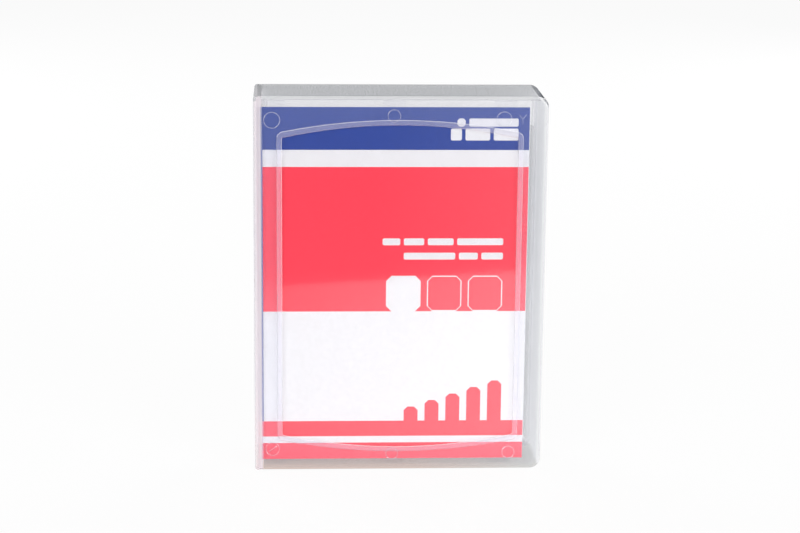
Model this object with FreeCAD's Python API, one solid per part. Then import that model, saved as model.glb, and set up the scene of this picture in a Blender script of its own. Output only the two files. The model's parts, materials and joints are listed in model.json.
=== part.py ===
import FreeCAD, Part
import math
import os

# Removable disk cartridge in its hinged, see-through storage case.
# Frame: +Z up, the printed front faces -Y, +X to the right as seen from the front.
# Origin: bottom centre of the closed case, which stands upright. Millimetres.
# Sizes run outwards: the disk drive sets the cartridge and the cartridge sets the case.

# Platters and spindle
platter_room = 0.825
platter_bore = 12.5
platter_thick = 0.64
platter_pitch = 2.5
stack_room = 1.68
hub_flange_radius = 14.2
hub_flange_thick = 0.6
shaft_radius = 1.5
shaft_play = 0.05
shaft_end_gap = 0.62
spacer_width = 2.0
clamp_thick = 0.5
clamp_radius = 13.6
clamp_screw_radius = 1.6
clamp_screw_height = 0.3

# 2.5 inch disk drive
drive_width = 69.85
drive_corner = 2.5
lid_thick = 0.6
lid_inset = 0.8
floor_thick = 1.2
basin_wall = 1.6
basin_floor_rise = 6.0
board_thick = 0.8
board_gap = 0.1
board_face_gap = 0.3
board_margin = 4.0
board_length = 42.0
board_corner = 1.0
drive_screw_radius = 1.3
drive_screw_height = 0.25
drive_screw_shank = 0.7
drive_screw_depth = 2.4
drive_screw_inset = 2.2

# Head actuator
pivot_radius = 2.0
pivot_play = 0.05
pivot_room = 7.925
arm_hub_radius = 5.0
arm_reach_extra = 0.9
arm_root_width = 9.0
arm_tip_width = 4.0
arm_thick = 0.7
suspension_length = 10.0
suspension_width = 2.6
suspension_thick = 0.12
park_gap = 1.8
head_swing = 28.0
coil_inner = 8.5
coil_half_angle = 15.0
coil_width = 2.6
coil_thick = 1.4
yoke_inner = 7.5
yoke_outer = 20.0
yoke_coil_margin = 2.0
yoke_end_angle = 4.5
yoke_thick = 0.8
yoke_side_gap = 1.325
yoke_floor_gap = 0.388
magnet_thick = 0.9
magnet_gap = 0.25
ramp_width = 3.4
ramp_length = 7.0
ramp_thick = 4.4
ramp_groove = 1.9
ramp_groove_depth = 3.0
ramp_foot_gap = 0.4
ramp_lap = 2.2
filter_size = 8.0
filter_thick = 1.6
filter_side_inset = 10.9
filter_rise = 16.0

# Shock bumpers, connectors, adapter board
bumper_wrap = 14.0
bumper_underlap = 3.5
bumper_gap = 0.2
bumper_corner = 2.4
header_width = 40.0
header_height = 4.4
header_depth = 4.0
header_pocket = 2.6
header_wall = 0.9
receptacle_length = 5.0
adapter_thick = 1.0
adapter_side_gap = 0.4
adapter_corner = 0.6
adapter_seat = 1.2
connector_width = 42.0
connector_height = 7.4
connector_length = 7.0
connector_corner = 0.6
connector_slot = 2.2
connector_slot_depth = 4.5
connector_slot_margin = 3.0
connector_recess = 0.6

# Cartridge housing
side_room = 6.975
face_room = 5.65
foot_room = 13.05
head_room = 4.0
shell_wall = 1.6
cart_corner = 4.0
cart_edge = 1.0
grip_height = 9.0
grip_groove_width = 1.2
grip_groove_depth = 0.5
grip_groove_pitch = 2.2
grip_groove_count = 3
grip_groove_margin = 14.5
label_side_margin = 9.5
label_end_margin = 14.0
label_depth = 0.3
guide_width = 5.0
guide_depth = 0.6
guide_inset = 13.5
window_gap = 0.6
tongue_inset = 23.5
tongue_reach = 3.0
tongue_thick = 1.0
tongue_play = 0.1

# Housing screws
screw_inset = 4.0
screw_low_gap = 0.35
screw_high_gap = 15.4
boss_radius = 2.6
screw_radius = 1.0
screw_head_radius = 1.9
screw_head_height = 1.4
screw_sink = 1.8
screw_length = 16.0
screw_play = 0.1
screw_sides = 8
boss_sides = 12

# Write-protect slider
slider_shift = 8.0
slider_length = 5.0
slider_width = 3.0
slider_proud = 0.8
slider_travel = 5.5
slider_play = 0.15
slider_flange_side = 1.3
slider_flange_thick = 1.0
slider_rail_thick = 1.0
slider_groove = 0.6

# Storage case
case_left_room = 10.75
case_right_room = 9.25
case_end_room = 11.0
cover_room = 2.4
rest_height = 1.2
case_wall = 1.5
free_corner = 4.0
hinge_corner = 1.2
rim_rounding = 1.0
tray_rounding = 0.5

# Folds between tray, spine and cover
fold_gap = 0.08
fold_lip = 0.36
cap_width = 2.8
cap_gap = 0.3

# Cover: raised frame, finger relief, latch rib, card tabs, snap pips
bead_height = 0.4
bead_width = 1.9
bead_side_inset = 8.7
bead_end_inset = 12.5
bead_drop = 0.65
bead_shift = -0.3
bead_bow = 4.7
bead_corner = 2.6
bead_crest = 0.2
relief_width = 2.9
relief_depth = 1.3
relief_end_inset = 12.0
relief_slant = 2.8
latch_rib_inset = 5.9
latch_rib_thick = 0.8
latch_rib_height = 6.0
latch_rib_end_inset = 11.5
tab_width = 8.0
tab_reach = 5.0
tab_thick = 0.9
tab_left_inset = 4.2
tab_right_inset = 8.7
tab_middle_shift = 0.75
detent_radius = 0.9
detent_height = 0.3
detent_length = 9.0
detent_end_inset = 35.5

# Tray: flange, locating rim, cartridge rests and corner brackets
flange_depth = 3.0
seam_gap = 0.2
rim_gap = 0.5
rim_thick = 1.2
rim_height = 8.0
rest_thick = 1.2
rest_side_inset = 7.5
rest_end_inset = 24.0
bracket_thick = 1.2
bracket_leg = 14.0
bracket_height = 10.0
cartridge_play = 0.3

# Printed card behind the cover and the spine
card_thick = 0.3
print_thick = 0.06
print_gap = 0.05
card_top_gap = 4.0
card_bottom_gap = 3.8
card_right_gap = 0.9
card_fold_gap = 0.2
spine_card_margin = 0.7
blue_band_height = 15.7
white_band_height = 6.3
white_field_height = 42.3
thin_red_height = 5.9
stripe_height = 2.6
low_red_height = 6.2

# Plain marks that stand where the card carries its print
line_bar_height = 2.6
line_bar_gap = 1.3
upper_line_lengths = (6.5, 7.5, 9.5, 17.0)
lower_line_lengths = (19.0, 7.0, 8.0)
upper_line_rise = 25.0
lower_line_rise = 19.6
line_right_inset = 8.7
gauge_width = 12.8
gauge_height = 13.5
gauge_pitch = 15.1
gauge_line = 0.45
gauge_corner = 2.0
band_bar_lengths = (4.0, 9.0, 9.0)
band_bar_height = 4.4
band_bar_drop = 12.2
band_pill_length = 18.0
band_pill_height = 3.0
band_pill_drop = 5.6
band_mark_inset = 4.0
bar_corner = 0.4
column_width = 5.2
column_gap = 2.6
column_heights = (5.5, 8.0, 10.5, 13.0, 15.5)
column_corner = 1.4
column_right_inset = 8.3

# Drive, worked out from the platters outwards
platter_radius = drive_width / 2 - basin_wall - platter_room
pivot_drop = platter_radius + pivot_room
pivot_side = drive_width / 2 - basin_wall - yoke_outer - yoke_side_gap
arm_reach = platter_radius + arm_reach_extra
arm_length = arm_reach - suspension_length + suspension_width
pivot_distance = math.hypot(pivot_side, pivot_drop)
spindle_bearing = math.degrees(math.atan2(pivot_drop, pivot_side))
park_radius = platter_radius + park_gap
park_square = pivot_distance ** 2 + arm_reach ** 2 - park_radius ** 2
park_turn = math.degrees(math.acos(park_square / (2 * pivot_distance * arm_reach)))
parked_angle = spindle_bearing - park_turn
coil_start = 180 + parked_angle - coil_half_angle
coil_end = 180 + parked_angle + head_swing + coil_half_angle
yoke_dip = yoke_outer * math.sin(math.radians(coil_end + yoke_end_angle - 180))
pivot_rise = basin_floor_rise + yoke_dip + yoke_floor_gap
drive_length = drive_width / 2 + pivot_drop + pivot_rise
basin_depth = platter_pitch + platter_thick + 2 * stack_room
drive_thick = lid_thick + basin_depth + floor_thick + board_gap + board_thick + board_face_gap

# Cartridge and case, worked out from the drive
cart_width = drive_width + 2 * (side_room + shell_wall)
cart_height = drive_length + foot_room + head_room + shell_wall
cart_thick = drive_thick + 2 * (face_room + shell_wall)
case_width = cart_width + case_left_room + case_right_room
case_height = cart_height + 2 * case_end_room
case_depth = bead_height + 2 * case_wall + cover_room + cart_thick + rest_height
x_left = -case_width / 2
x_right = case_width / 2
y_face = -case_depth / 2 + bead_height
y_back = case_depth / 2
y_cover_in = y_face + case_wall
y_tray_in = y_back - case_wall
z_mid = case_height / 2
bead_z = z_mid - bead_drop
fold_radius = case_wall / 2
fold_x = x_left + fold_radius
rear_fold_y = y_back - fold_radius
front_fold_y = y_face + fold_radius
wall_left = x_left + cap_width + cap_gap
cover_end_y = y_back - flange_depth - seam_gap
rim_left = wall_left + rim_gap
rim_right = x_right - case_wall - rim_gap
inner_corner = free_corner - case_wall
rim_corner = inner_corner - rim_gap
rib_x = x_right - latch_rib_inset
card_left = wall_left + card_fold_gap
card_right = rib_x - card_right_gap
card_top = case_height - card_top_gap
card_bottom = card_bottom_gap
print_y = y_cover_in + print_gap
card_y = print_y + print_thick
blue_bottom = card_top - blue_band_height
red_top = blue_bottom - white_band_height
low_red_top = card_bottom + low_red_height
thin_red_bottom = low_red_top + stripe_height
thin_red_top = thin_red_bottom + thin_red_height
red_bottom = thin_red_top + white_field_height
tab_spots = (
    card_left + tab_left_inset,
    (card_left + card_right) / 2 - tab_middle_shift,
    card_right - tab_right_inset,
)

# Places inside the case
cart_x = (case_left_room - case_right_room) / 2
cart_back = y_tray_in - rest_height
cart_front = cart_back - cart_thick
cart_y = cart_back - cart_thick / 2
cart_bottom = z_mid - cart_height / 2
cart_top = z_mid + cart_height / 2
cart_left = cart_x - cart_width / 2
cart_right = cart_x + cart_width / 2
wall_front = cart_front + shell_wall
wall_back = cart_back - shell_wall
wall_top = cart_top - shell_wall
grip_bottom = cart_top - grip_height
drive_top = wall_top - head_room
drive_bottom = drive_top - drive_length
drive_front = cart_y - drive_thick / 2
drive_back = cart_y + drive_thick / 2
drive_left = cart_x - drive_width / 2
drive_right = cart_x + drive_width / 2
lid_back = drive_front + lid_thick
board_back = drive_back - board_face_gap
board_front = board_back - board_thick
casting_back = board_front - board_gap
basin_back = casting_back - floor_thick
spindle_z = drive_top - drive_width / 2
pivot_x = cart_x - pivot_side
pivot_z = drive_bottom + pivot_rise
platter_mid = (lid_back + basin_back) / 2
rear_platter = platter_mid + platter_pitch / 2
front_platter = platter_mid - platter_pitch / 2
clamp_back = front_platter - platter_thick / 2
coil_outer = yoke_outer - yoke_coil_margin
plug_front = casting_back - header_height + header_wall + board_gap
plug_back = board_front - header_wall - board_gap
plug_top = drive_bottom + header_pocket - board_gap
plug_bottom = plug_top - receptacle_length
plug_half = header_width / 2 - header_wall - board_gap
adapter_front = (plug_front + plug_back - adapter_thick) / 2
adapter_back = adapter_front + adapter_thick

V = FreeCAD.Vector
ALONG_Y = V(0, 1, 0)
ALONG_Z = V(0, 0, 1)


def block(x0, x1, y0, y1, z0, z1):
    """Straight block between two corners, given in either order."""
    low = V(min(x0, x1), min(y0, y1), min(z0, z1))
    return Part.makeBox(abs(x1 - x0), abs(y1 - y0), abs(z1 - z0), low)


def disc(x, z, radius, y0, y1):
    """Round solid whose axis runs front to back."""
    return Part.makeCylinder(radius, y1 - y0, V(x, y0, z), ALONG_Y)


def tube(x, z, outer, inner, y0, y1):
    """Ring whose axis runs front to back."""
    return disc(x, z, outer, y0, y1).cut(disc(x, z, inner, y0, y1))


def upright(face_points, y0, y1):
    """Flat outline of (x, z) points, made solid from y0 to y1."""
    points = [V(x, y0, z) for x, z in face_points]
    wire = Part.makePolygon(points + [points[0]])
    return Part.Face(wire).extrude(V(0, y1 - y0, 0))


def rod(x, z, radius, y0, y1, sides=screw_sides):
    """Small post or its hole, drawn with a few flat sides, between two depths in either order."""
    points = []
    for step in range(sides):
        angle = 2 * math.pi * (step + 0.5) / sides
        points.append((x + radius * math.cos(angle), z + radius * math.sin(angle)))
    return upright(points, min(y0, y1), max(y0, y1))


def edges_along(shape, direction):
    """Straight edges that run along one direction."""
    found = []
    for edge in shape.Edges:
        if isinstance(edge.Curve, Part.Line):
            run = edge.Curve.Direction
            if abs(run.dot(direction)) > 0.999:
                found.append(edge)
    return found


def rounded_plate(x0, x1, z0, z1, y0, y1, left_radius, right_radius):
    """Upright plate with one corner radius at its left and one at its right."""
    plate = block(x0, x1, y0, y1, z0, z1)
    middle = (x0 + x1) / 2
    corners = edges_along(plate, ALONG_Y)
    left = [edge for edge in corners if edge.CenterOfMass.x < middle]
    right = [edge for edge in corners if edge.CenterOfMass.x > middle]
    if left_radius > 0:
        plate = plate.makeFillet(left_radius, left)
        corners = edges_along(plate, ALONG_Y)
        right = [edge for edge in corners if abs(edge.CenterOfMass.x - x1) < 0.001]
    return plate.makeFillet(right_radius, right)


def bevelled_plate(x0, x1, z0, z1, y0, y1, corner):
    """Upright plate with its four corners cut at a slant."""
    plate = block(x0, x1, y0, y1, z0, z1)
    return plate.makeChamfer(corner, edges_along(plate, ALONG_Y))


def front_rim_edges(shape, y, low_x):
    """Edges of a plate that lie in its face at y, right of low_x."""
    found = []
    for edge in shape.Edges:
        box = edge.BoundBox
        in_face = abs(box.YMin - y) < 0.001 and abs(box.YMax - y) < 0.001
        if in_face and box.XMax > low_x:
            found.append(edge)
    return found


def fold_cutter(fold_y, inward):
    """Room for the spine's round edge and its swing, beside a panel's folded edge."""
    reach = fold_radius + fold_gap
    outside = x_left - case_wall
    room = Part.makeCylinder(reach, case_height, V(fold_x, fold_y, 0), ALONG_Z)
    side = block(outside, fold_x + reach, fold_y, fold_y + inward * 2 * case_wall, 0, case_height)
    beyond = block(
        outside, fold_x + fold_lip, fold_y - case_wall, fold_y + case_wall, 0, case_height)
    return room.fuse([side, beyond])


def case_half(panel_y, wall_y0, wall_y1, outer_y, rounding, fold_y, inward):
    """Panel and side walls of one half of the case, rounded outside and cut free at its fold."""
    panel = rounded_plate(
        x_left, x_right, 0, case_height, panel_y, panel_y + case_wall, 0, free_corner)
    half = panel.fuse(wall_ring(wall_y0, wall_y1)).removeSplitter()
    half = half.makeFillet(rounding, front_rim_edges(half, outer_y, wall_left))
    return half.cut(fold_cutter(fold_y, inward))


def wall_ring(y0, y1):
    """Top, bottom and free side walls of one half of the case, open at the fold."""
    outer = rounded_plate(wall_left, x_right, 0, case_height, y0, y1, 0, free_corner)
    inner = rounded_plate(
        x_left, x_right - case_wall, case_wall, case_height - case_wall, y0, y1, 0, inner_corner)
    return outer.cut(inner)


def barrel(half_width, half_height, corner, y0, y1):
    """Block with straight sides and gently bowed top and bottom, rounded at its corners."""
    low_left = V(bead_shift - half_width, y0, bead_z - half_height)
    high_left = V(bead_shift - half_width, y0, bead_z + half_height)
    high_right = V(bead_shift + half_width, y0, bead_z + half_height)
    low_right = V(bead_shift + half_width, y0, bead_z - half_height)
    crown = V(bead_shift, y0, bead_z + half_height + bead_bow)
    keel = V(bead_shift, y0, bead_z - half_height - bead_bow)
    edges = [
        Part.LineSegment(low_left, high_left).toShape(),
        Part.Arc(high_left, crown, high_right).toShape(),
        Part.LineSegment(high_right, low_right).toShape(),
        Part.Arc(low_right, keel, low_left).toShape(),
    ]
    solid = Part.Face(Part.Wire(edges)).extrude(V(0, y1 - y0, 0))
    return solid.makeFillet(corner, edges_along(solid, ALONG_Y))


def bead_frame():
    """Raised frame round the clear window of the cover, with eased edges on its crest."""
    y_crest = y_face - bead_height
    half_width = case_width / 2 - bead_side_inset
    half_height = case_height / 2 - bead_end_inset
    outer = barrel(half_width, half_height, bead_corner, y_crest, y_face)
    inner = barrel(
        half_width - bead_width, half_height - bead_width, bead_corner - bead_width, y_crest, y_face)
    ring = outer.cut(inner)
    return ring.makeChamfer(bead_crest, front_rim_edges(ring, y_crest, x_left))


def finger_relief():
    """Sloped cut along the free front edge, with slanted ends, where a finger lifts the cover."""
    inner_x = x_right - relief_width
    outer_x = x_right + relief_width
    fall = 2 * relief_depth
    profile = [
        V(inner_x, y_face, 0),
        V(outer_x, y_face + fall, 0),
        V(outer_x, y_face - relief_depth, 0),
        V(inner_x, y_face - relief_depth, 0),
    ]
    wedge = Part.Face(Part.makePolygon(profile + [profile[0]])).extrude(V(0, 0, case_height))
    low = relief_end_inset
    high = case_height - relief_end_inset
    slant = 2 * relief_slant
    ends = [(inner_x, low), (outer_x, low - slant), (outer_x, high + slant), (inner_x, high)]
    return wedge.common(upright(ends, y_face - relief_depth, y_face + fall))


def snap_pips():
    """Two shallow half-round pips inside the free wall that make the case close with a light snap."""
    inner_right = x_right - case_wall
    pip_y = cover_end_y - detent_radius - rim_gap
    axis_x = inner_right + detent_radius - detent_height
    bite = block(inner_right - detent_height, inner_right, y_face, cover_end_y, 0, case_height)
    pips = []
    for middle in (detent_end_inset, case_height - detent_end_inset):
        low = V(axis_x, pip_y, middle - detent_length / 2)
        pips.append(Part.makeCylinder(detent_radius, detent_length, low, ALONG_Z).common(bite))
    return pips


def case_cover():
    """Front half: panel, deep walls, raised frame, latch rib, card tabs and snap pips."""
    cover = case_half(y_face, y_face, cover_end_y, y_face, rim_rounding, front_fold_y, 1)
    rib = block(
        rib_x, rib_x + latch_rib_thick, y_cover_in, y_cover_in + latch_rib_height,
        latch_rib_end_inset, case_height - latch_rib_end_inset)
    tab_y = card_y + card_thick + print_gap
    tabs = []
    for x in tab_spots:
        for wall_z, tip_z in (
                (case_wall, case_wall + tab_reach),
                (case_height - case_wall, case_height - case_wall - tab_reach)):
            tabs.append(block(x - tab_width / 2, x + tab_width / 2, tab_y, tab_y + tab_thick, wall_z, tip_z))
    cover = cover.cut(finger_relief()).fuse([bead_frame(), rib] + tabs + snap_pips())
    return cover.removeSplitter()


def corner_bracket(side_x, side_z):
    """L-shaped wall round one corner of the cartridge."""
    in_x = cart_x + side_x * (cart_width / 2 + cartridge_play)
    in_z = z_mid + side_z * (cart_height / 2 + cartridge_play)
    out_x = in_x + side_x * bracket_thick
    out_z = in_z + side_z * bracket_thick
    far_x = out_x - side_x * bracket_leg
    far_z = out_z - side_z * bracket_leg
    low_y = y_tray_in - bracket_height
    upright_leg = block(in_x, out_x, low_y, y_tray_in, far_z, out_z)
    level_leg = block(far_x, out_x, low_y, y_tray_in, in_z, out_z)
    return upright_leg.fuse(level_leg)


def locating_rim():
    """Upstanding wall of the tray that the cover's walls close over."""
    rim_y = y_tray_in - rim_height
    low = case_wall + rim_gap
    high = case_height - low
    outer = rounded_plate(rim_left, rim_right, low, high, rim_y, y_tray_in, rim_corner, rim_corner)
    inner = rounded_plate(
        rim_left + rim_thick, rim_right - rim_thick, low + rim_thick, high - rim_thick,
        rim_y, y_tray_in, rim_corner / 2, rim_corner / 2)
    return outer.cut(inner)


def case_tray():
    """Back half: panel, flange, locating rim, rests and corner brackets for the cartridge."""
    tray = case_half(
        y_tray_in, y_back - flange_depth, y_back, y_back, tray_rounding, rear_fold_y, -1)
    pieces = [locating_rim()]
    rest_half = cart_width / 2 - rest_side_inset
    for rest_z in (cart_bottom + rest_end_inset, z_mid, cart_top - rest_end_inset):
        pieces.append(block(
            cart_x - rest_half, cart_x + rest_half, cart_back, y_tray_in,
            rest_z - rest_thick / 2, rest_z + rest_thick / 2))
    for side_x in (-1, 1):
        for side_z in (-1, 1):
            pieces.append(corner_bracket(side_x, side_z))
    return tray.fuse(pieces).removeSplitter()


def case_spine():
    """Narrow side between the two folds, with round edges and a cap at each end."""
    web = block(x_left, x_left + case_wall, front_fold_y, rear_fold_y, 0, case_height)
    round_edges = []
    for y in (front_fold_y, rear_fold_y):
        round_edges.append(Part.makeCylinder(fold_radius, case_height, V(fold_x, y, 0), ALONG_Z))
    cap_front = y_cover_in + seam_gap
    cap_back = y_tray_in - seam_gap
    caps = []
    for z0 in (0, case_height - case_wall):
        caps.append(block(x_left, x_left + cap_width, cap_front, cap_back, z0, z0 + case_wall))
    spine = web.fuse(round_edges + caps).removeSplitter()
    silhouette = rounded_plate(
        x_left, x_right, 0, case_height, y_face, y_back, hinge_corner, free_corner)
    return spine.common(silhouette)


def knock_out(x0, x1, z0, z1, corner):
    """Unprinted spot in a band, with its corners eased."""
    return bevelled_plate(x0, x1, z0, z1, print_y, print_y + print_thick, corner)


def bar_row(lengths, right_x, low_z, height):
    """Row of plain bars that ends at right_x."""
    bars = []
    x = right_x
    for length in reversed(lengths):
        bars.append(knock_out(x - length, x, low_z, low_z + height, bar_corner))
        x -= length + line_bar_gap
    return bars


def gauge_marks():
    """One filled block and two outlined ones, standing on the white field."""
    marks = []
    first_left = card_right - line_right_inset - 2 * gauge_pitch - gauge_width
    for place in range(3):
        x0 = first_left + place * gauge_pitch
        x1 = x0 + gauge_width
        z1 = red_bottom + gauge_height
        mark = knock_out(x0, x1, red_bottom, z1, gauge_corner)
        if place > 0:
            mark = mark.cut(knock_out(
                x0 + gauge_line, x1 - gauge_line, red_bottom + gauge_line, z1 - gauge_line,
                gauge_corner - gauge_line))
        marks.append(mark)
    return marks


def band(z0, z1):
    """One printed field across the whole card."""
    return block(card_left, card_right, print_y, print_y + print_thick, z0, z1)


def print_blue_front():
    """Blue band at the head of the card, with plain bars left white."""
    right = card_right - band_mark_inset
    pill_low = card_top - band_pill_drop - band_pill_height / 2
    pill = knock_out(right - band_pill_length, right, pill_low, pill_low + band_pill_height, bar_corner)
    spot_right = right - band_pill_length - line_bar_gap
    spot = knock_out(
        spot_right - band_pill_height, spot_right, pill_low, pill_low + band_pill_height,
        band_pill_height / 4)
    bars = bar_row(band_bar_lengths, right, card_top - band_bar_drop, band_bar_height)
    return band(blue_bottom, card_top).cut([pill, spot] + bars)


def print_red_front():
    """Three red fields, with plain marks left white above and a row of columns below."""
    line_right = card_right - line_right_inset
    upper = bar_row(upper_line_lengths, line_right, red_bottom + upper_line_rise, line_bar_height)
    lower = bar_row(lower_line_lengths, line_right, red_bottom + lower_line_rise, line_bar_height)
    field = band(red_bottom, red_top).cut(upper + lower + gauge_marks())
    columns = []
    for place, height in enumerate(reversed(column_heights)):
        x1 = card_right - column_right_inset - place * (column_width + column_gap)
        column = block(
            x1 - column_width, x1, print_y, print_y + print_thick, thin_red_bottom, thin_red_top + height)
        top_edges = [edge for edge in edges_along(column, ALONG_Y) if edge.CenterOfMass.z > thin_red_top]
        columns.append(column.makeChamfer(column_corner, top_edges))
    thin_field = band(thin_red_bottom, thin_red_top).fuse(columns).removeSplitter()
    low_field = band(card_bottom, low_red_top)
    return Part.makeCompound(field.Solids + thin_field.Solids + low_field.Solids)


def insert_front_leaf():
    """White card behind the cover's panel."""
    return block(card_left, card_right, card_y, card_y + card_thick, card_bottom, card_top)


def spine_leaf_block(depth0, depth1, z0, z1):
    """Flat stretch behind the spine, measured inwards from its inner face."""
    inner = x_left + case_wall
    front = y_cover_in + spine_card_margin
    back = y_tray_in - spine_card_margin
    return block(inner + depth0, inner + depth1, front, back, z0, z1)


def insert_spine_leaf():
    """The card's second leaf, folded round behind the spine."""
    start = print_gap + print_thick
    return spine_leaf_block(start, start + card_thick, card_bottom, card_top)


def print_blue_spine():
    """Blue field of the spine leaf."""
    return spine_leaf_block(print_gap, print_gap + print_thick, thin_red_top, card_top)


def print_red_spine():
    """Red bands at the foot of the spine leaf."""
    upper = spine_leaf_block(print_gap, print_gap + print_thick, thin_red_bottom, thin_red_top)
    lower = spine_leaf_block(print_gap, print_gap + print_thick, card_bottom, low_red_top)
    return Part.makeCompound([upper, lower])


def screw_places():
    """Centres of the four housing screws, clear of the shock bumpers."""
    side = cart_width / 2 - screw_inset
    low = drive_bottom + bumper_wrap + boss_radius + screw_low_gap
    high = drive_top - bumper_wrap - screw_high_gap
    return [(cart_x - side, low), (cart_x - side, high), (cart_x + side, low), (cart_x + side, high)]


def housing():
    """Hollow cartridge body before it is split into shells and grip cap."""
    outer = rounded_plate(
        cart_left, cart_right, cart_bottom, cart_top, cart_front, cart_back, cart_corner, cart_corner)
    rims = front_rim_edges(outer, cart_front, cart_left) + front_rim_edges(outer, cart_back, cart_left)
    inner_radius = cart_corner - shell_wall
    inner = rounded_plate(
        cart_left + shell_wall, cart_right - shell_wall, cart_bottom + shell_wall, wall_top,
        wall_front, wall_back, inner_radius, inner_radius)
    return outer.makeChamfer(cart_edge, rims).cut(inner)


def connector_window():
    """Opening in the foot of the housing for the connector."""
    half_width = connector_width / 2 + window_gap
    half_height = connector_height / 2 + window_gap
    return block(
        cart_x - half_width, cart_x + half_width, cart_y - half_height, cart_y + half_height,
        cart_bottom, cart_bottom + shell_wall)


def cartridge_rear_shell():
    """Back half of the housing, with screw bosses and two guide channels."""
    half = block(cart_left, cart_right, cart_y, cart_back, cart_bottom, grip_bottom)
    shell = housing().common(half).cut(connector_window())
    bosses = [rod(x, z, boss_radius, cart_y, wall_back, boss_sides) for x, z in screw_places()]
    cuts = []
    for x, z in screw_places():
        cuts.append(rod(x, z, screw_head_radius + screw_play, cart_back - screw_sink, cart_back))
        cuts.append(rod(x, z, screw_radius + screw_play, cart_y, cart_back))
    for side in (-1, 1):
        x = cart_x + side * (cart_width / 2 - guide_inset)
        cuts.append(block(
            x - guide_width / 2, x + guide_width / 2, cart_back - guide_depth, cart_back,
            cart_bottom, grip_bottom))
    return shell.fuse(bosses).cut(cuts).removeSplitter()


def cartridge_front_shell():
    """Front half of the housing, with blind screw bosses and a shallow label recess."""
    half = block(cart_left, cart_right, cart_front, cart_y, cart_bottom, grip_bottom)
    shell = housing().common(half).cut(connector_window())
    bosses = [rod(x, z, boss_radius, wall_front, cart_y, boss_sides) for x, z in screw_places()]
    screw_tip = cart_back - screw_sink + screw_head_height - screw_length
    cuts = [rod(x, z, screw_radius, screw_tip, cart_y) for x, z in screw_places()]
    cuts.append(bevelled_plate(
        cart_left + label_side_margin, cart_right - label_side_margin,
        cart_bottom + label_end_margin, grip_bottom - label_end_margin,
        cart_front, cart_front + label_depth, cart_edge))
    return shell.fuse(bosses).cut(cuts).removeSplitter()


def grip_cap():
    """End cap with finger grooves, joining tongues and the slot of the slider."""
    cap = housing().common(block(cart_left, cart_right, cart_front, cart_back, grip_bottom, cart_top))
    tongue_left = cart_left + tongue_inset
    tongue_right = cart_right - tongue_inset
    tongue_low = grip_bottom - tongue_reach
    added = slider_rails()
    for wall_y, inward in ((wall_front, 1), (wall_back, -1)):
        near = wall_y + inward * tongue_play
        added.append(block(
            tongue_left, tongue_right, near, near + inward * tongue_thick, tongue_low, wall_top))
        added.append(block(
            tongue_left, tongue_right, wall_y, near, grip_bottom + tongue_play, wall_top))
    cuts = [slider_slot()]
    for step in range(grip_groove_count):
        z0 = grip_bottom + grip_groove_pitch * (step + 0.5)
        for face_y, inward in ((cart_front, 1), (cart_back, -1)):
            cuts.append(block(
                cart_left + grip_groove_margin, cart_right - grip_groove_margin,
                face_y, face_y + inward * grip_groove_depth, z0, z0 + grip_groove_width))
    return cap.fuse(added).cut(cuts).removeSplitter()


def slider_slot():
    """Slot in the cap's crown that the slider's knob travels in."""
    left = cart_x + slider_shift - slider_play
    right = left + slider_length + slider_travel + 2 * slider_play
    half = slider_width / 2 + slider_play
    return block(left, right, cart_y - half, cart_y + half, wall_top, cart_top)


def slider_rails():
    """Two L-shaped rails under the slot that carry the slider's flange."""
    left = cart_x + slider_shift - slider_flange_side - slider_play
    right = left + slider_length + slider_travel + 2 * (slider_flange_side + slider_play)
    under = wall_top - slider_flange_thick - 2 * slider_play
    low = under - slider_rail_thick
    rails = []
    for side in (-1, 1):
        edge = cart_y + side * (slider_width / 2 + slider_flange_side + slider_play)
        outside = edge + side * slider_rail_thick
        shelf_in = cart_y + side * slider_width / 2
        wall = block(left, right, edge, outside, low, wall_top)
        rails.append(wall.fuse(block(left, right, shelf_in, outside, low, under)))
    return rails


def write_protect_slider():
    """Sliding tab with a flange below the cap and a nail groove on its crown."""
    x0 = cart_x + slider_shift
    x1 = x0 + slider_length
    half = slider_width / 2
    crown = cart_top + slider_proud
    flange_top = wall_top - slider_play
    knob = block(x0, x1, cart_y - half, cart_y + half, flange_top, crown)
    reach = half + slider_flange_side
    flange = block(
        x0 - slider_flange_side, x1 + slider_flange_side, cart_y - reach, cart_y + reach,
        flange_top - slider_flange_thick, flange_top)
    middle = (x0 + x1) / 2
    groove = block(
        middle - slider_groove, middle + slider_groove, cart_y - half, cart_y + half,
        crown - slider_groove, crown)
    return knob.fuse(flange).cut(groove).removeSplitter()


def shell_screws():
    """Four screws that close the housing from the back."""
    seat = cart_back - screw_sink
    head_back = seat + screw_head_height
    screws = []
    for x, z in screw_places():
        head = rod(x, z, screw_head_radius, seat, head_back)
        shank = rod(x, z, screw_radius, head_back - screw_length, seat)
        screws.append(head.fuse(shank).removeSplitter())
    return Part.makeCompound(screws)


def drive_body():
    """Outer form of the drive, used by its casting and its bumpers."""
    return rounded_plate(
        drive_left, drive_right, drive_bottom, drive_top, drive_front, drive_back,
        drive_corner, drive_corner)


def basin():
    """Hollow of the casting: a round pool for the platters and a pocket for the actuator."""
    pool = disc(cart_x, spindle_z, drive_width / 2 - basin_wall, lid_back, basin_back)
    pocket = rounded_plate(
        drive_left + basin_wall, drive_right - basin_wall, drive_bottom + basin_floor_rise, spindle_z,
        lid_back, basin_back, drive_corner, drive_corner)
    return pool.fuse(pocket)


def lid_screw_places():
    """Four lid screws, near the corners of the drive."""
    side = drive_width / 2 - drive_screw_inset
    low = drive_bottom + drive_screw_inset + lid_inset
    high = drive_top - drive_screw_inset - lid_inset
    return [(cart_x - side, low), (cart_x - side, high), (cart_x + side, low), (cart_x + side, high)]


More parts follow.
